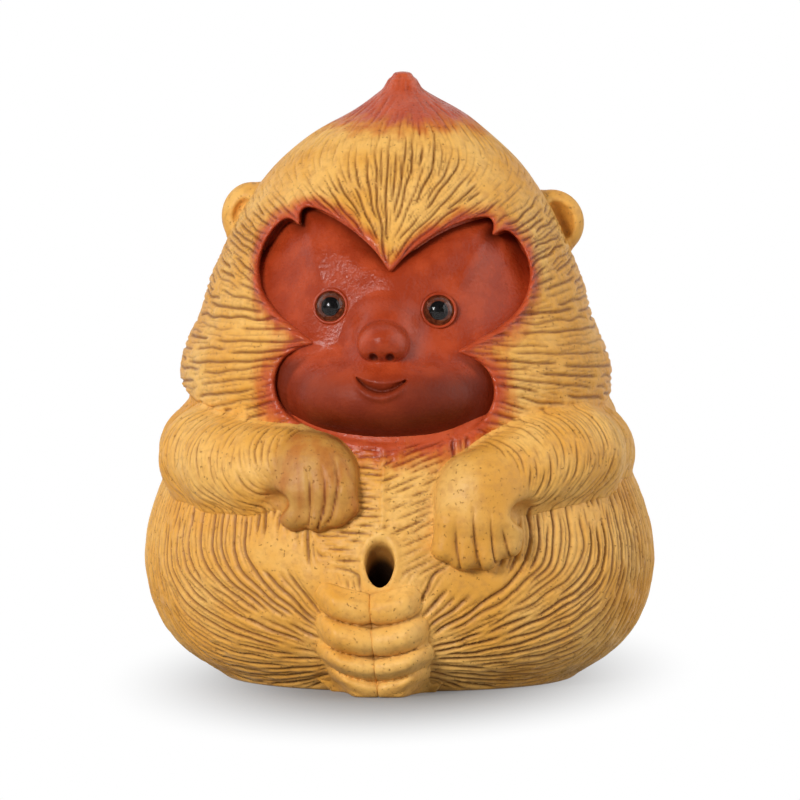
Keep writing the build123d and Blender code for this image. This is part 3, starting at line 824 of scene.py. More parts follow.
# Torso strokes stand upright, run in towards the feet low down and slant on the chest
FEET_PLACE = (FOOT_MIDDLE, -36.0, 3.0)
LOW_TOP, LOW_SPAN = 32.0, (4.0, 18.0)
LOW_TURN, LOW_TURN_SPAN = 1.5, (0.0, 0.9)
CHEST_HALF, CHEST_EDGE, CHEST_SPAN = 11.0, (0.0, 3.0), (17.0, 21.0)
SLANT_LEFT, SLANT_RIGHT = np.radians(2.0), np.radians(24.0)
# Arm strokes cross the limb and sweep towards the wrist underneath: angle by how far the skin faces down
SWEEP_FACING, SWEEP_DEGREES = (-0.9, 0.0, 0.8), (-8.0, 22.0, 62.0)
# Smooth patches on the belly: place across and height, half sizes
PALE_PATCHES = ((14.0, 18.0, 6.0, 3.0), (-16.5, 21.8, 5.0, 3.6), (-9.6, 18.4, 3.4, 2.6))
# Bare skin: round the face, spout, base, chest line, arms, feet, ears and hands
BARE_FACE, BARE_FACE_BACK = 0.5, -4.0
BARE_SPOUT, BARE_SPOUT_BACK = 1.6, -25.0
BARE_LINE, BARE_LINE_TOP = 0.7, 40.0
BARE_BASE, BARE_INSIDE = 0.8, 0.25
BARE_ARM, BARE_FOOT, BARE_EAR = 0.35, 0.8, 0.5
BARE_ROOT, BARE_HAND = 0.3, 1.3


def tangent_frame(normal, x):
    """Directions round the body away from the front, and up, along the surface."""
    around = np.stack((-normal[:, 1], normal[:, 0], np.zeros(len(normal))), axis=1)
    around /= np.maximum(np.linalg.norm(around, axis=1, keepdims=True), 1e-6)
    up = np.cross(normal, around)
    return around * np.where(x > 0, 1.0, -1.0)[:, None], up


def mix_lines(*weighted):
    """One line direction from (weight, angle) pairs; a line has no front or back end."""
    across = sum(weight * np.cos(2 * angle) for weight, angle in weighted)
    along = sum(weight * np.sin(2 * angle) for weight, angle in weighted)
    return 0.5 * np.arctan2(along, across)


def head_angle(z, turn, upright):
    """Stroke angle on the head: a fan from the brow, upright on top and behind."""
    rise = z - FAN_HEIGHT - FAN_RISE * smooth_step(z, *FAN_SPAN)
    rise = np.where(rise < 0, FAN_BELOW * rise, rise)
    radial = np.arctan2(rise, HEAD_GIRTH * turn)
    top = smooth_step(z, *TOP_SPAN)
    behind = smooth_step(turn, *BEHIND_SPAN)
    return mix_lines((np.clip(1.0 - top - behind, 0.0, 1.0), radial), (top + behind, upright))


def body_fur(points, normal):
    """Stroke direction, spacing, depth, width and length at points of the body."""
    x, y, z = points.T
    turn = np.abs(bearing(points.T))
    around, up = tangent_frame(normal, x)
    upright = np.full(len(points), np.pi / 2)

    target = np.array(FEET_PLACE) - points
    inward = np.arctan2((target * up).sum(axis=1), (target * around).sum(axis=1))
    low = smooth_step(LOW_TOP - z, *LOW_SPAN) * smooth_step(LOW_TURN - turn, *LOW_TURN_SPAN)
    chest = smooth_step(CHEST_HALF - np.abs(x), *CHEST_EDGE) * smooth_step(z, *CHEST_SPAN) * (y < 0)
    slant = np.where(x > 0, SLANT_RIGHT, SLANT_LEFT)
    off_chest = 1.0 - chest
    torso_angle = mix_lines(((1.0 - low) * off_chest, upright), (low * off_chest, inward), (chest, slant))

    head = z > mane_edge(bearing(points.T))
    angle = np.where(head, head_angle(z, turn, upright), torso_angle)
    line = around * np.cos(angle)[:, None] + up * np.sin(angle)[:, None]
    from_brow = np.hypot(HEAD_GIRTH * turn, z - BROW_PEAK) - CROWN_FAR_RIGHT * smooth_step(x, *RIGHT_SPAN)
    crown = smooth_step(from_brow, *CROWN_FAR) * smooth_step(z, *CROWN_SPAN)
    fore = smooth_step(z, *FORE_SPAN) * (y < 0)
    values = []
    for (plain, on_fore, on_crown), (torso, on_chest) in zip(HEAD_FUR, TORSO_FUR):
        values.append(np.where(head, plain + on_fore * fore + on_crown * crown, torso + on_chest * chest))
    return line, *values


def arm_fur(points, normal, side):
    """The same for an arm."""
    middle_line = np.array(arm_line(side)[0])
    best = np.full(len(points), 1e9)
    along = np.zeros_like(points)
    for start, end in zip(middle_line, middle_line[1:]):
        run = end - start
        share = np.clip(((points - start) @ run) / (run @ run), 0.0, 1.0)
        gap = np.linalg.norm(points - start - share[:, None] * run, axis=1)
        closer = gap < best
        best = np.where(closer, gap, best)
        along[closer] = run / np.linalg.norm(run)
    across = side * np.cross(normal, along)
    sweep = np.radians(np.interp(-normal[:, 2], SWEEP_FACING, SWEEP_DEGREES))
    line = across * np.cos(sweep)[:, None] + along * np.sin(sweep)[:, None]
    return line, *(np.full(len(points), value) for value in ARM_FUR)


def furry_body(points):
    """Where the body carries fur."""
    place = points.T
    x, y, z = place
    furry = (face_distance(x, z) > BARE_FACE) | (y > BARE_FACE_BACK)
    furry &= (spout_place(place)[1] > SPOUT_RADIUS + BARE_SPOUT) | (y > BARE_SPOUT_BACK)
    furry &= (np.abs(skin(place)) < BARE_INSIDE) & (z > BARE_BASE)
    furry &= (np.abs(x) > BARE_LINE) | (z > BARE_LINE_TOP) | (y > 0)
    for side in SIDES.values():
        furry &= (arm(place, side) > BARE_ARM) & (ear(place, side) > BARE_EAR)
        furry &= (foot(place, side) > BARE_FOOT) | (y > 0)
    for across, height, half_across, half_height in PALE_PATCHES:
        outside = ((x - across) / half_across) ** 2 + ((z - height) / half_height) ** 2 >= 1.0
        furry &= outside | (y >= 0)
    return furry


def fur_ground(surfaces):
    """All points that can carry fur, with the stroke values at each."""
    points, quads = surfaces["body"]
    normal = normals(points, quads)
    grounds = [(furry_body(points), points, normal, *body_fur(points, normal))]
    for name, side in SIDES.items():
        points, quads = surfaces["arm_" + name]
        normal = normals(points, quads)
        furry = (skin(points.T) > BARE_ROOT) & (hand(points.T, side) > BARE_HAND)
        grounds.append((furry, points, normal, *arm_fur(points, normal, side)))
    rows = [[column[furry] for column in columns] for furry, *columns in grounds]
    return [np.concatenate(columns) for columns in zip(*rows)]


def filled_tree(points):
    """A tree of points that finds the nearest one."""
    tree = KDTree(len(points))
    for index, point in enumerate(points):
        tree.insert(point, index)
    tree.balance()
    return tree


class Fur:
    """Strokes combed over the ground, evenly spaced, each a run of points."""

    STRIDE = 0.4
    CELL = 2
    NEIGHBOURS = tuple(itertools.product((-1, 0, 1), repeat=3))
    LOST = 0.9
    CLOSENESS = 0.6
    LENGTHS = (0.35, 1.0)
    WAVES = (0.0, 0.18)
    WAVE_PACE = 0.9
    STRENGTHS = (0.6, 1.15)
    SHORTEST = 4
    TAPER = 2.0
    ROPE_REACH = 0.55
    ROPE_SHARE, LINE_SHARE = 0.6, 0.5
    # Painted shade along each stroke's line: how strongly the stroke's depth darkens it, and its width as a
    # share of the stroke's width
    DARKNESS = 1.7
    DARK_WIDTH = 0.7

    def __init__(self, ground, seed):
        self.points, self.normal, self.line, self.spacing, self.depth, self.width, self.length = ground
        self.random = random.Random(seed)
        self.tree = filled_tree(self.points.tolist())
        self.rows = list(zip(*(map(Vector, part.tolist()) for part in (self.points, self.normal, self.line))))
        self.cells = {}
        self.samples = []

    def cell(self, point):
        return int(point.x // self.CELL), int(point.y // self.CELL), int(point.z // self.CELL)

    def crowded(self, point, gap):
        """True if an earlier stroke passes nearer than the gap."""
        cx, cy, cz = self.cell(point)
        limit = gap * gap
        for ix, iy, iz in self.NEIGHBOURS:
            for other in self.cells.get((cx + ix, cy + iy, cz + iz), ()):
                if (other - point).length_squared < limit:
                    return True
        return False

    def walk(self, start, sign, reach, wave, phase, spread):
        """Points along the lines from a start, one way."""
        run = []
        point, _, heading = self.rows[start]
        heading = heading * sign
        gone = 0.0
        while gone < reach:
            ahead = point + heading * self.STRIDE
            _, index, gap = self.tree.find(ahead)
            near, normal, line = self.rows[index]
            if gap > self.LOST:
                break
            line = line if line.dot(heading) > 0 else -line
            bend = normal.cross(line) * (wave * math.sin(phase + gone * self.WAVE_PACE))
            point = ahead - normal * (ahead - near).dot(normal)
            if self.crowded(point, self.CLOSENESS * spread * self.spacing[index]):
                break
            heading = (line + bend).normalized()
            gone += self.STRIDE
            run.append((point, index))
        return run

    def comb(self, tries, spread, boldness):
        """Lays strokes at random starts; spread scales spacing and length, boldness depth and width."""
        for start in [self.random.randrange(len(self.rows)) for _ in range(tries)]:
            if self.crowded(self.rows[start][0], spread * self.spacing[start]):
                continue
            reach = spread * self.length[start] * self.random.uniform(*self.LENGTHS) / 2
            wave = self.random.uniform(*self.WAVES)
            phase = self.random.uniform(0.0, 6.3)
            back = self.walk(start, -1, reach, wave, phase, spread)
            ahead = self.walk(start, 1, reach, wave, phase, spread)
            run = back[::-1] + [(self.rows[start][0], start)] + ahead
            if len(run) > self.SHORTEST:
                self.lay(run, boldness * self.random.uniform(*self.STRENGTHS), boldness)

    def lay(self, run, strength, boldness):
        """Keeps a stroke's samples: point, direction, depth, width and reach, with tapered ends."""
        last = len(run) - 1
        for place, (point, index) in enumerate(run):
            heading = (run[min(place + 1, last)][0] - run[max(place - 1, 0)][0]).normalized()
            taper = min(1.0, (min(place, last - place) + 0.5) * self.STRIDE / self.TAPER)
            depth = strength * taper**0.7 * self.depth[index]
            width = self.width[index] * (0.5 + 0.5 * boldness)
            self.samples.append((point, heading, depth, width, self.ROPE_REACH * self.spacing[index]))
            self.cells.setdefault(self.cell(point), []).append(point)

    @functools.cached_property
    def sample_columns(self):
        points, headings, *sizes = zip(*self.samples)
        vectors = [np.array([tuple(vector) for vector in column]) for column in (points, headings)]
        return vectors + [np.array(column) for column in sizes]

    @functools.cached_property
    def sample_tree(self):
        return filled_tree([sample[0] for sample in self.samples])

    def carve(self, points):
        """How deep the nearest stroke cuts at each point, and how much painted shade darkens its line."""
        nearest = np.array([self.sample_tree.find(point)[1] for point in points.tolist()])
        place, heading, depth, width, reach = (column[nearest] for column in self.sample_columns)
        gap = points - place
        along = np.clip((gap * heading).sum(axis=1), -self.STRIDE, self.STRIDE)
        off = np.linalg.norm(gap - along[:, None] * heading, axis=1)
        share = np.clip(off / reach, 0.0, 1.0)
        rope = 1.0 - np.sqrt(share * (2.0 - share))
        line = np.exp(-((off / width) ** 1.5))
        dark = np.clip(self.DARKNESS * depth, 0.0, 1.0) ** 0.9
        dark = dark * np.exp(-((off / (self.DARK_WIDTH * width)) ** 1.6))
        return depth * (self.ROPE_SHARE * rope + self.LINE_SHARE * line), dark


# Grooves between the fingers: sideways place and height of points from the knuckles down
FINGER_GROOVES = {
    -1: (
        ((-11.7, 35.9), (-10.9, 31.7), (-11.5, 25.4)), ((-9.4, 35.9), (-8.5, 31.5), (-9.6, 25.8)),
        ((-7.9, 37.4), (-6.6, 33.0), (-8.0, 27.0)),
    ),
    1: (
        ((13.9, 30.1), (14.2, 25.7), (14.9, 19.4)), ((16.5, 29.4), (16.8, 24.7), (17.6, 19.8)),
        ((18.2, 26.8), (18.7, 24.3), (19.3, 21.4)), ((11.4, 28.0), (11.4, 24.0), (11.9, 19.6)),
    ),
}
GROOVE_COUNT = 36
GROOVE_DEPTH, GROOVE_WIDTH, GROOVE_REACH = 0.62, 0.30, 1.1
ARM_DEPTHS = np.arange(-44.0, -20.0, 0.05)


def arm_front(side, across, height):
    """The place where a line from straight ahead first meets an arm."""
    inside = arm((np.full_like(ARM_DEPTHS, across), ARM_DEPTHS, np.full_like(ARM_DEPTHS, height)), side) < 0
    return Vector((across, float(ARM_DEPTHS[np.argmax(inside)]), height))


def finger_grooves(fur):
    """Adds the grooves between the fingers to the strokes, deep at the tips."""
    for side, corners in ((side, corners) for side in SIDES.values() for corners in FINGER_GROOVES[side]):
        across, height = np.array(corners).T
        share = np.linspace(0.0, 1.0, len(corners))
        bends = np.polyfit(share, across, 2), np.polyfit(share, height, 2)
        places = np.linspace(0.0, 1.0, GROOVE_COUNT)
        run = [arm_front(side, *(np.polyval(bend, place) for bend in bends)) for place in places]
        for index, point in enumerate(run):
            heading = (run[min(index + 1, GROOVE_COUNT - 1)] - run[max(index - 1, 0)]).normalized()
            depth = GROOVE_DEPTH * min(1.0, (index + 0.5) / (GROOVE_COUNT / 2))
            fur.samples.append((point, heading, depth, GROOVE_WIDTH, GROOVE_REACH))


# Tone of the paint: how far the red reaches from the face at some heights, and where the crown is red
RED_HEIGHTS = (36.0, 41.0, 48.0, 54.0, 60.0, 66.0, 74.0)
RED_REACHES = (5.4, 4.8, 4.4, 4.2, 2.4, 2.2, 2.6)
RED_START = 0.2
RED_CROWN_SPAN = (82.0, 88.0)
# Hands: how much painted shade and painted red bounce light from the face they take beyond the arm, and how
# that changes to the right
HAND_SHADE, HAND_SHADE_RIGHT = 0.36, -0.10
HAND_BOUNCE_RED, HAND_BOUNCE_RED_RIGHT = 0.12, -0.08
HAND_PAINTED_LIGHT_SPAN = (0.5, 3.5)
# How far a part's root is drawn in under the body's skin
ROOT_SPAN, ROOT_DEPTH = (-0.05, 0.25), 0.3
# Painted shade inside the spout: from its edge, ahead of a depth, and more at two depths under the skin
SPOUT_EDGE, SPOUT_DARK_BACK = (0.1, 0.6), -15.0
SPOUT_SHADES = ((0.8, (0.2, 2.0)), (1.2, (1.5, 5.5)))
# Painted shade between the toes: amount, swelling, and where it ends outwards and at the back
TOE_SHADE, TOE_SHADE_PUFF = 0.65, (0.10, 0.50)
TOE_SHADE_INNER, TOE_SHADE_BACK = 6.0, -34.5
# Painted shade on the red face: along its edge and under the brow, beside the muzzle, in the mouth and
# nostrils; low on the muzzle and at the chin darker paint together with painted shade, the painted shade
# growing to the right
EDGE_SHADE, EDGE_SHADE_MORE = 0.15, 0.75
EDGE_SHADE_REACH, EDGE_SHADE_SPAN = 1.3, (63.0, 67.0)
BESIDE_SHADE, BESIDE_GAP, BESIDE_FADE = 0.6, (0.3, 1.2), (49.0, 53.0)
MUZZLE_SHADE, MUZZLE_FADE = 0.46, (46.5, 52.0)
MUZZLE_SHADE_RIGHT, MUZZLE_RIGHT_SPAN = 0.4, (0.0, 9.0)
CHIN_SHADE, CHIN_FADE = 0.34, (38.0, 46.0)
MOUTH_SHADE = 0.9
NOSTRIL_FADE = (-0.1, 0.35)


def red_share(place):
    """How red the paint is on the yellow clay: round the face and on the crown."""
    x, y, z = place
    reach = np.interp(z, RED_HEIGHTS, RED_REACHES)
    halo = np.clip(1.0 - (face_distance(x, z) - RED_START) / reach, 0.0, 1.0) * (y < 0)
    return np.maximum(halo, smooth_step(z, *RED_CROWN_SPAN))


def spout_shade(place):
    """Painted shade inside the spout, from its mouth inwards."""
    _, across = spout_place(place)
    inside = 1.0 - smooth_step(across, *(SPOUT_RADIUS + edge for edge in SPOUT_EDGE))
    inside = inside * (place[1] < SPOUT_DARK_BACK)
    depth = -skin(place)
    return inside * sum(amount * smooth_step(depth, *span) for amount, span in SPOUT_SHADES)


def foot_shade(place, side):
    """Painted shade in the grooves between the toes."""
    x, y, z = place
    off = foot_off(x, z, side)
    grooves = 1.0 - smooth_step(foot_puff(off, z)[0], *TOE_SHADE_PUFF)
    inner = 1.0 - smooth_step(off, TOE_SHADE_INNER, FOOT_HALF)
    return TOE_SHADE * grooves * inner * (y < TOE_SHADE_BACK)


def face_shade(place):
    """Painted shade on the red face: in its edge groove and under the brow, in the mouth and the nostrils,
    and low on the muzzle, where it goes with darker paint.
    """
    x, _, z = place
    edge = np.exp(np.minimum(face_distance(x, z), 0.0) / EDGE_SHADE_REACH)
    edge = edge * (EDGE_SHADE + EDGE_SHADE_MORE * smooth_step(z, *EDGE_SHADE_SPAN))
    beside = smooth_step(muzzle_form(place), *BESIDE_GAP) * (1.0 - smooth_step(z, *BESIDE_FADE))
    low = MUZZLE_SHADE * (1.0 - smooth_step(z, *MUZZLE_FADE))
    low = low * (1.0 + MUZZLE_SHADE_RIGHT * smooth_step(x, *MUZZLE_RIGHT_SPAN))
    low = low + CHIN_SHADE * (1.0 - smooth_step(z, *CHIN_FADE))
    holes = [1.0 - smooth_step(nostril(place, side), *NOSTRIL_FADE) for side in SIDES.values()]
    shades = [edge, BESIDE_SHADE * beside, low, MOUTH_SHADE * mouth_depth(x, z)] + holes
    return functools.reduce(np.maximum, shades)


def add_object(name, data):
    made = bpy.data.objects.new(name, data)
    bpy.context.scene.collection.objects.link(made)
    return made


def make_mesh(name, points, quads, layers):
    """A mesh object from points in millimetres, with a value layer for each named array."""
    mesh = bpy.data.meshes.new(name)
    mesh.vertices.add(len(points))
    mesh.vertices.foreach_set("co", (points * MILLIMETRE).astype(np.float32).ravel())
    mesh.loops.add(quads.size)
    mesh.loops.foreach_set("vertex_index", quads.astype(np.int32).ravel())
    mesh.polygons.add(len(quads))
    mesh.polygons.foreach_set("loop_start", np.arange(0, quads.size, 4, dtype=np.int32))
    mesh.polygons.foreach_set("use_smooth", np.ones(len(quads), dtype=bool))
    mesh.update(calc_edges=True)
    for layer, values in layers.items():
        attribute = mesh.attributes.new(layer, "FLOAT", "POINT")
        attribute.data.foreach_set("value", values.astype(np.float32))
    mesh.validate()
    return add_object(name, mesh)


def face_look(part_name):
    """A piece of the red face, with its painted shade and darker paint as a layer."""
    points, quads = surfaces[part_name]
    return make_mesh("look_" + part_name, points, quads, {"painted_shade_and_dark_paint": face_shade(points.T)})


def tone_layers(part_name, place, painted_shade_and_dark_paint):
    """Layers of painted shade and of red paint for a part of yellow clay; on the hands there is more painted
    shade, and the red there is painted red bounce light from the face.
    """
    if part_name == "body":
        return {"painted_shade_and_dark_paint": np.maximum(painted_shade_and_dark_paint, spout_shade(place)), "red": red_share(place)}
    kind, side_name = part_name.split("_")
    side = SIDES[side_name]
    if kind == "arm":
        # Painted shade and painted red bounce light from the face on the hands, more on the left hand
        on_hand = 1.0 - smooth_step(hand(place, side), *HAND_PAINTED_LIGHT_SPAN)
        hand_painted_shade = (HAND_SHADE + HAND_SHADE_RIGHT * side) * on_hand
        return {"painted_shade_and_dark_paint": np.maximum(painted_shade_and_dark_paint, hand_painted_shade), "red": (HAND_BOUNCE_RED + HAND_BOUNCE_RED_RIGHT * side) * on_hand}
    if kind == "foot":
        painted_shade_and_dark_paint = np.maximum(painted_shade_and_dark_paint, foot_shade(place, side))
    return {"painted_shade_and_dark_paint": painted_shade_and_dark_paint, "red": 0.0 * painted_shade_and_dark_paint}


def clay_look(part_name):
    """A part of yellow clay with its fur carved in, and painted shade along the fur's lines."""
    points, quads = surfaces[part_name]
    cut, painted_shade_and_dark_paint = fur.carve(points)
    layers = tone_layers(part_name, points.T, painted_shade_and_dark_paint)
    inward = normals(points, quads)
    if part_name != "body":
        under = 1.0 - smooth_step(skin(points.T), *ROOT_SPAN)
        ring = points * (1.0, 1.0, 0.0)
        ring /= np.linalg.norm(ring, axis=1, keepdims=True)
        inward = inward + under[:, None] * (ring - inward)
        cut = cut + ROOT_DEPTH * under
    return make_mesh("look_" + part_name, points - cut[:, None] * inward, quads, layers)


def cut_off(piece, name, point, direction):
    """A new piece: what lies on the far side of a plane, with a flat face over the cut."""
    work = bmesh.new()
    work.from_mesh(piece.data)
    everything = list(work.verts) + list(work.edges) + list(work.faces)
    plane = {"plane_co": [value * MILLIMETRE for value in point], "plane_no": direction}
    bmesh.ops.bisect_plane(work, geom=everything, clear_inner=True, **plane)
    rims = [edge for edge in work.edges if edge.is_boundary]
    for cap in bmesh.ops.holes_fill(work, edges=rims, sides=0)["faces"]:
        cap.smooth = False
        for edge in cap.edges:
            edge.smooth = False
    mesh = bpy.data.meshes.new(name)
    work.to_mesh(mesh)
    work.free()
    return add_object(name, mesh)


# Eyes: paint behind the dome, the rim's coil, and how finely they are turned
IRIS_THICKNESS = 0.5
PAINT_LAP = 0.03
PUPIL_RADIUS = 1.20
RIM_MIDDLE = 2.52
RIM_RADIUS = 0.23
RIM_LIFT = 0.2
EYE_SEGMENTS = 64
DOME_STEPS = 24
RIM_STEPS = 16
SHARP_ANGLE = math.radians(40.0)
WELD = 1e-7


def turned(name, outline, place, outward):
    """A turned piece: an outline of (radius, height) carried round the axis at a place."""
    axis = Vector(outward)
    across = axis.cross(Vector((0, 0, 1))).normalized()
    up = across.cross(axis)
    points, faces = [], []
    rings = len(outline)
    for index in range(EYE_SEGMENTS):
        angle = 2 * math.pi * index / EYE_SEGMENTS
        spoke = across * math.cos(angle) + up * math.sin(angle)
        points += [Vector(place) + spoke * radius + axis * height for radius, height in outline]
        here, there = index * rings, (index + 1) % EYE_SEGMENTS * rings
        for ring in range(rings):
            after = (ring + 1) % rings
            faces.append((here + ring, there + ring, there + after, here + after))
    mesh = bpy.data.meshes.new(name)
    mesh.from_pydata([point * MILLIMETRE for point in points], [], faces)
    work = bmesh.new()
    work.from_mesh(mesh)
    bmesh.ops.remove_doubles(work, verts=work.verts, dist=WELD)
    bmesh.ops.dissolve_degenerate(work, edges=work.edges, dist=WELD)
    bmesh.ops.recalc_face_normals(work, faces=work.faces)
    for one in work.faces:
        one.smooth = True
    for edge in work.edges:
        edge.smooth = edge.calc_face_angle(0.0) < SHARP_ANGLE
    work.to_mesh(mesh)
    work.free()
    return add_object(name, mesh)


def eye_outlines():
    """Outlines of an eye's dome, iris, pupil and rim."""
    ball_radius = (LENS_RADIUS**2 + LENS_RISE**2) / (2 * LENS_RISE)
    top = math.asin(LENS_RADIUS / ball_radius)
    lens = []
    for angle in [top * step / DOME_STEPS for step in range(DOME_STEPS + 1)]:
        height = ball_radius * math.cos(angle) - ball_radius + LENS_RISE
        lens.append((ball_radius * math.sin(angle), height - LENS_SEAT))
    lens.append((0.0, -LENS_SEAT))
    upper = PAINT_LAP - LENS_SEAT
    lower = upper - IRIS_THICKNESS
    iris = [(PUPIL_RADIUS, upper), (LENS_RADIUS, upper), (LENS_RADIUS, lower), (PUPIL_RADIUS, lower)]
    pupil = [(0.0, upper), (PUPIL_RADIUS, upper), (PUPIL_RADIUS, lower), (0.0, lower)]
    rim = []
    for angle in [2 * math.pi * step / RIM_STEPS for step in range(RIM_STEPS)]:
        rim.append((RIM_MIDDLE + RIM_RADIUS * math.cos(angle), RIM_RADIUS * math.sin(angle) + RIM_LIFT))
    return {"eye_lens": lens, "eye_iris": iris, "eye_pupil": pupil, "eye_rim": rim}


class Nodes:
    """A small helper for building the nodes of a material or a world."""

    def __init__(self, owner):
        owner.use_nodes = True
        self.owner = owner
        self.tree = owner.node_tree
        self.shader = self.tree.nodes.get("Principled BSDF")

    def add(self, kind, **settings):
        node = self.tree.nodes.new(kind)
        for key, value in settings.items():
            setattr(node, key, value)
        return node

    def link(self, value, socket):
        """Sets a socket from another socket or from a plain value."""
        if isinstance(value, bpy.types.NodeSocket):
            self.tree.links.new(value, socket)
        else:
            socket.default_value = value

    def places(self):
        return self.add("ShaderNodeTexCoord").outputs["Object"]

    def attribute(self, name):
        return self.add("ShaderNodeAttribute", attribute_name=name).outputs["Fac"]

    def noise(self, scale, detail=3.0, stretch=(1.0, 1.0, 1.0)):
        mapping = self.add("ShaderNodeMapping")
        self.link(self.places(), mapping.inputs["Vector"])
        mapping.inputs["Scale"].default_value = stretch
        node = self.add("ShaderNodeTexNoise")
        self.link(mapping.outputs["Vector"], node.inputs["Vector"])
        node.inputs["Scale"].default_value = scale
        node.inputs["Detail"].default_value = detail
        return node.outputs["Fac"]

    def span(self, value, low, high, to_low=0.0, to_high=1.0):
        """A value taken from one range to another, held at the ends."""
        node = self.add("ShaderNodeMapRange", interpolation_type="SMOOTHSTEP")
        self.link(value, node.inputs["Value"])
        for socket, number in zip(("From Min", "From Max", "To Min", "To Max"), (low, high, to_low, to_high)):
            node.inputs[socket].default_value = number
        return node.outputs["Result"]

    def math(self, operation, first, second):
        node = self.add("ShaderNodeMath", operation=operation)
        self.link(first, node.inputs[0])
        self.link(second, node.inputs[1])
        return node.outputs["Value"]

    def mix(self, share, first, second, blend="MIX"):
        node = self.add("ShaderNodeMix", data_type="RGBA", blend_type=blend)
        self.link(share, node.inputs["Factor"])
        self.link(first, node.inputs[6])
        self.link(second, node.inputs[7])
        return node.outputs[2]

    def bump(self, height, distance, strength, under=None):
        node = self.add("ShaderNodeBump")
        node.inputs["Distance"].default_value = distance
        node.inputs["Strength"].default_value = strength
        self.link(height, node.inputs["Height"])
        if under is not None:
            self.link(under, node.inputs["Normal"])
        return node.outputs["Normal"]

    def finish(self, colour, roughness, normal=None, gloss=0.5):
        self.link(colour, self.shader.inputs["Base Color"])
        self.link(roughness, self.shader.inputs["Roughness"])
        self.link(gloss, self.shader.inputs["Specular IOR Level"])
        if normal is not None:
            self.link(normal, self.shader.inputs["Normal"])
        return self.owner


OCHRE = (0.73, 0.345, 0.052, 1)
PALE_OCHRE = (0.81, 0.460, 0.120, 1)
TAN = (0.50, 0.225, 0.055, 1)
# Painted shade in the fur's lines, between the toes and on the hands, and the colour of the dark specks
SPECK_AND_SHADE_BROWN = (0.20, 0.068, 0.010, 1)
# Painted shade deep in the spout
HOLE_PAINTED_SHADE = (0.015, 0.006, 0.002, 1)
BRICK = (0.31, 0.034, 0.008, 1)
PALE_BRICK = (0.42, 0.055, 0.014, 1)
LIGHT_BRICK = (0.52, 0.085, 0.028, 1)
# Painted shade on red clay, with darker paint low on the muzzle
SHADE_AND_DARK_PAINT_BRICK = (0.095, 0.009, 0.0005, 1)
RED_OCHRE = (0.75, 0.40, 0.25, 1)
BLACK, SOFT_BLACK = (0.002, 0.0015, 0.0015, 1), (0.005, 0.0035, 0.003, 1)
DARK_AMBER, AMBER = (0.08, 0.016, 0.006, 1), (0.20, 0.045, 0.016, 1)
WHITE = (1, 1, 1, 1)
FLOOR_GREY = (0.22, 0.22, 0.22, 1)


def new_material(name):
    return Nodes(bpy.data.materials.new(name))


def brick_colour(nodes, painted_shade_and_dark_paint, darkest, deep, pale):
    """Red clay with slow changes of tone, darkened by painted shade and, low on the muzzle, by darker paint
    as well.
    """
    tone = nodes.mix(nodes.span(nodes.noise(260.0, 4.0), 0.35, 0.7), deep, pale)
    return nodes.mix(nodes.span(painted_shade_and_dark_paint, 0.05, 0.8, 0.0, darkest), tone, SHADE_AND_DARK_PAINT_BRICK)


def painted_clay(name, gloss):
    """Yellow clay with combed grooves, dark pits, painted shade along the fur's lines, between the toes, on
    the hands and deep in the spout, and red paint by the face and on the crown; the red on the hands is
    painted red bounce light.
    """
    nodes = new_material(name)
    painted_shade_and_dark_paint = nodes.attribute("painted_shade_and_dark_paint")
    tone = nodes.mix(nodes.span(nodes.noise(95.0, 4.0), 0.35, 0.68), OCHRE, PALE_OCHRE)
    tone = nodes.mix(nodes.span(nodes.noise(900.0, 5.0), 0.42, 0.72, 0.0, 0.42), tone, TAN)
    pits = nodes.span(nodes.noise(1900.0, 3.0), 0.64, 0.71)
    tone = nodes.mix(nodes.math("MULTIPLY", pits, 0.55), tone, SPECK_AND_SHADE_BROWN)
    # Painted shade: along the fur's lines, between the toes and on the hands, and near black deep in the
    # spout
    tone = nodes.mix(nodes.span(painted_shade_and_dark_paint, 0.05, 0.9, 0.0, 0.85), tone, SPECK_AND_SHADE_BROWN)
    tone = nodes.mix(nodes.span(painted_shade_and_dark_paint, 1.0, 2.0), tone, HOLE_PAINTED_SHADE)
    streaks = nodes.span(nodes.noise(420.0, 3.0, (1.0, 1.0, 0.25)), 0.3, 0.7, -0.16, 0.16)
    red = nodes.math("ADD", nodes.attribute("red"), streaks)
    red = nodes.math("ADD", red, nodes.span(painted_shade_and_dark_paint, 0.1, 0.9, 0.0, 0.2))
    red = nodes.math("MULTIPLY", red, nodes.span(nodes.attribute("red"), 0.0, 0.15))
    tone = nodes.mix(nodes.span(red, 0.05, 0.7), tone, RED_OCHRE, "MULTIPLY")
    brick = brick_colour(nodes, painted_shade_and_dark_paint, 0.5, PALE_BRICK, LIGHT_BRICK)
    tone = nodes.mix(nodes.span(red, 0.5, 0.95), tone, brick)
    rough = nodes.span(nodes.noise(700.0), 0.3, 0.7, 0.42, 0.56)
    rough = nodes.math("SUBTRACT", rough, nodes.span(red, 0.4, 0.9, 0.0, 0.18))
    grain = nodes.bump(nodes.noise(2200.0, 4.0), 0.00012, 0.6)
    normal = nodes.bump(pits, -0.00012, 0.8, grain)
    return nodes.finish(tone, rough, normal, gloss)


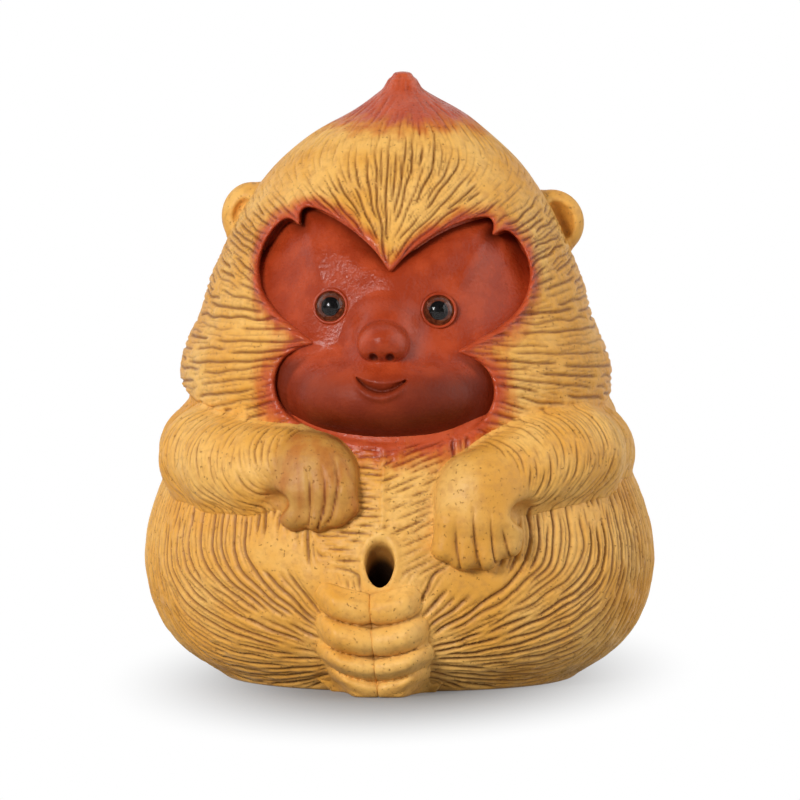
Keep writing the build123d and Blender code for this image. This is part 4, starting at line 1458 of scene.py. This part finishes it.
def burnished_clay(name, gloss):
    """Burnished red clay with fine leathery wrinkles, with painted shade and darker paint from the face's
    layer, and duller where these are.
    """
    nodes = new_material(name)
    painted_shade_and_dark_paint = nodes.attribute("painted_shade_and_dark_paint")
    colour = brick_colour(nodes, painted_shade_and_dark_paint, 0.9, BRICK, PALE_BRICK)
    rough = nodes.span(nodes.noise(520.0), 0.3, 0.7, 0.22, 0.32)
    rough = nodes.math("ADD", rough, nodes.span(painted_shade_and_dark_paint, 0.15, 0.55, 0.0, 0.25))
    grain = nodes.bump(nodes.noise(2600.0, 4.0), 0.00008, 0.5)
    normal = nodes.bump(nodes.noise(1700.0, 5.0), 0.00016, 0.7, grain)
    return nodes.finish(colour, rough, normal, gloss)


def enamel(name, dark, light, roughness):
    """Eye paint with fine flecks."""
    nodes = new_material(name)
    colour = nodes.mix(nodes.span(nodes.noise(2400.0, 4.0), 0.35, 0.7), dark, light)
    return nodes.finish(colour, roughness, gloss=0.0)


def eye_glass(name, bending):
    """Clear glass with a faint unevenness."""
    nodes = new_material(name)
    nodes.shader.inputs["Transmission Weight"].default_value = 1.0
    nodes.shader.inputs["IOR"].default_value = bending
    return nodes.finish(WHITE, nodes.span(nodes.noise(900.0), 0.4, 0.7, 0.11, 0.13))


# Floor: half sizes in metres of the oval round the object where the floor takes its shadow
SHADOW_OVAL = (0.046, 0.105, 1.0)
FLOOR_HALF = 4


def floor_paint():
    """White floor: takes the shadow near the object, plain white further away."""
    nodes = new_material("floor")
    nodes.finish(FLOOR_GREY, 0.8)
    shrunk = nodes.add("ShaderNodeVectorMath", operation="DIVIDE")
    nodes.link(nodes.places(), shrunk.inputs[0])
    shrunk.inputs[1].default_value = SHADOW_OVAL
    length = nodes.add("ShaderNodeVectorMath", operation="LENGTH")
    nodes.link(shrunk.outputs["Vector"], length.inputs[0])
    away = nodes.span(length.outputs["Value"], 0.2, 1.0, 0.1, 1.0)
    path = nodes.add("ShaderNodeLightPath")
    seen = nodes.math("ADD", path.outputs["Is Camera Ray"], path.outputs["Is Glossy Ray"])
    seen = nodes.math("MINIMUM", nodes.math("ADD", seen, path.outputs["Is Transmission Ray"]), 1.0)
    mixer = nodes.add("ShaderNodeMixShader")
    nodes.link(nodes.math("MULTIPLY", away, seen), mixer.inputs[0])
    nodes.link(nodes.shader.outputs[0], mixer.inputs[1])
    nodes.link(nodes.add("ShaderNodeEmission").outputs[0], mixer.inputs[2])
    nodes.link(mixer.outputs[0], nodes.tree.nodes["Material Output"].inputs["Surface"])
    return nodes.owner


def studio_world(strength):
    """Soft light, half as strong in front; white to the camera and, behind, in gloss and glass."""
    nodes = Nodes(bpy.data.worlds.new("studio"))
    path = nodes.add("ShaderNodeLightPath")
    mirrored = nodes.math("ADD", path.outputs["Is Glossy Ray"], path.outputs["Is Transmission Ray"])
    split = nodes.add("ShaderNodeSeparateXYZ")
    nodes.link(nodes.add("ShaderNodeTexCoord").outputs["Generated"], split.inputs[0])
    behind = nodes.span(split.outputs["Y"], -0.2, 0.3)
    seen = nodes.math("MAXIMUM", path.outputs["Is Camera Ray"], nodes.math("MULTIPLY", mirrored, behind))
    room = nodes.span(split.outputs["Y"], -0.3, 0.3, 0.5 * strength, strength)
    unseen = nodes.math("MULTIPLY", room, nodes.math("SUBTRACT", 1.0, seen))
    background = nodes.tree.nodes["Background"]
    background.inputs["Color"].default_value = WHITE
    nodes.link(nodes.math("ADD", seen, unseen), background.inputs["Strength"])
    return nodes.owner


yellow = painted_clay("yellow_clay", 0.26)
crown = painted_clay("crown_clay", 0.4)
red = burnished_clay("red_clay", 0.20)
EYE_LOOKS = {
    "eye_lens": ("eye_glass", eye_glass("eye_glass", 1.38)),
    "eye_iris": ("iris_enamel", enamel("iris_enamel", DARK_AMBER, AMBER, 0.25)),
    "eye_pupil": ("pupil_enamel", enamel("pupil_enamel", BLACK, SOFT_BLACK, 0.15)),
    "eye_rim": ("red_clay", red),
}


def finish_piece(piece, nodes, slot_name, material):
    piece.data.materials.append(material)
    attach(piece, "root")
    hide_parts(*nodes)


def divide_body():
    """The body's look, cut into the crown tip and the two halves."""
    whole = clay_look("body")
    upper = cut_off(whole, "look_crown_tip", (0, 0, CROWN_SEAT), (0, 0, 1))
    lower = cut_off(whole, "lower", (0, 0, CROWN_SEAT), (0, 0, -1))
    front = cut_off(lower, "look_body_front", (0, SEAM_Y, 0), (0, -1, 0))
    back = cut_off(lower, "look_body_back", (0, SEAM_Y, 0), (0, 1, 0))
    for spare in (whole, lower):
        spare_mesh = spare.data
        bpy.data.objects.remove(spare)
        bpy.data.meshes.remove(spare_mesh)
    finish_piece(upper, ["crown_tip"], "red_clay", crown)
    finish_piece(front, ["body_front"], "yellow_clay", yellow)
    finish_piece(back, ["body_back"], "yellow_clay", yellow)


# The fur is combed twice, the second time finer, each with its tries, spread and boldness
COMBINGS = ((70000, 1.0, 1.0), (60000, 0.55, 0.5))
FUR_SEED = 7

surfaces = raw_surfaces()
fur = Fur(fur_ground(surfaces), FUR_SEED)
for combing in COMBINGS:
    fur.comb(*combing)
finger_grooves(fur)

divide_body()
for side_name in SIDES:
    for kind in ("arm", "foot", "ear"):
        part_name = kind + "_" + side_name
        finish_piece(clay_look(part_name), [part_name], "yellow_clay", yellow)
for part_name in ("face_mask", "muzzle", "nose"):
    finish_piece(face_look(part_name), [part_name], "red_clay", red)
for side_name, side in SIDES.items():
    for kind, outline in eye_outlines().items():
        part_name = kind + "_" + side_name
        piece = turned("look_" + part_name, outline, *EYE_SEATS[side])
        finish_piece(piece, [part_name], *EYE_LOOKS[kind])
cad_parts["base_slab"].data.materials.clear()
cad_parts["base_slab"].data.materials.append(yellow)

# Camera: a long lens a little to the right of and above the front, in metres; the lens is worked out for an
# image 800 pixels wide
DISTANCE = 2.5
AZIMUTH, ELEVATION = math.radians(4.5), math.radians(5.0)
AIM = Vector((0.0, 0.0, 0.0424))
SENSOR_WIDTH = 36.0
IMAGE_PIXELS = 800
MM_PER_PIXEL = 0.153


def add_camera():
    data = bpy.data.cameras.new("camera")
    data.sensor_width = SENSOR_WIDTH
    data.lens = SENSOR_WIDTH * DISTANCE / (IMAGE_PIXELS * MM_PER_PIXEL * MILLIMETRE)
    camera = add_object("camera", data)
    level = math.cos(ELEVATION)
    offset = Vector((math.sin(AZIMUTH) * level, -math.cos(AZIMUTH) * level, math.sin(ELEVATION)))
    camera.location = AIM + offset * DISTANCE
    camera.rotation_euler = (-offset).to_track_quat("-Z", "Y").to_euler()
    bpy.context.scene.camera = camera


# Lamps: place and size in metres, and power in watts; all point at the middle of the object
LAMPS = {
    "key": ((-0.45, -1.05, 0.45), 0.30, 11.8),
    "side": ((-1.45, -0.10, 0.50), 1.80, 8.5),
    "fill": ((1.45, -0.30, 0.45), 2.00, 21.0),
}
LAMP_AIM = Vector((0, 0, 0.045))
ROOM_LIGHT = 0.40


def add_lamp(name, place, size, power):
    data = bpy.data.lights.new(name, "AREA")
    data.size = size
    data.energy = power
    lamp = add_object(name, data)
    lamp.location = place
    lamp.rotation_euler = (LAMP_AIM - Vector(place)).to_track_quat("-Z", "Y").to_euler()


def add_floor():
    mesh = bpy.data.meshes.new("floor")
    corners = [(x * FLOOR_HALF, y * FLOOR_HALF, 0) for x, y in ((-1, -1), (1, -1), (1, 1), (-1, 1))]
    mesh.from_pydata(corners, [], [(0, 1, 2, 3)])
    mesh.materials.append(floor_paint())
    return add_object("floor", mesh)


add_camera()
floor = add_floor()
for name, settings in LAMPS.items():
    add_lamp(name, *settings)
bpy.context.scene.world = studio_world(ROOM_LIGHT)
bpy.context.scene.view_settings.view_transform = "Standard"
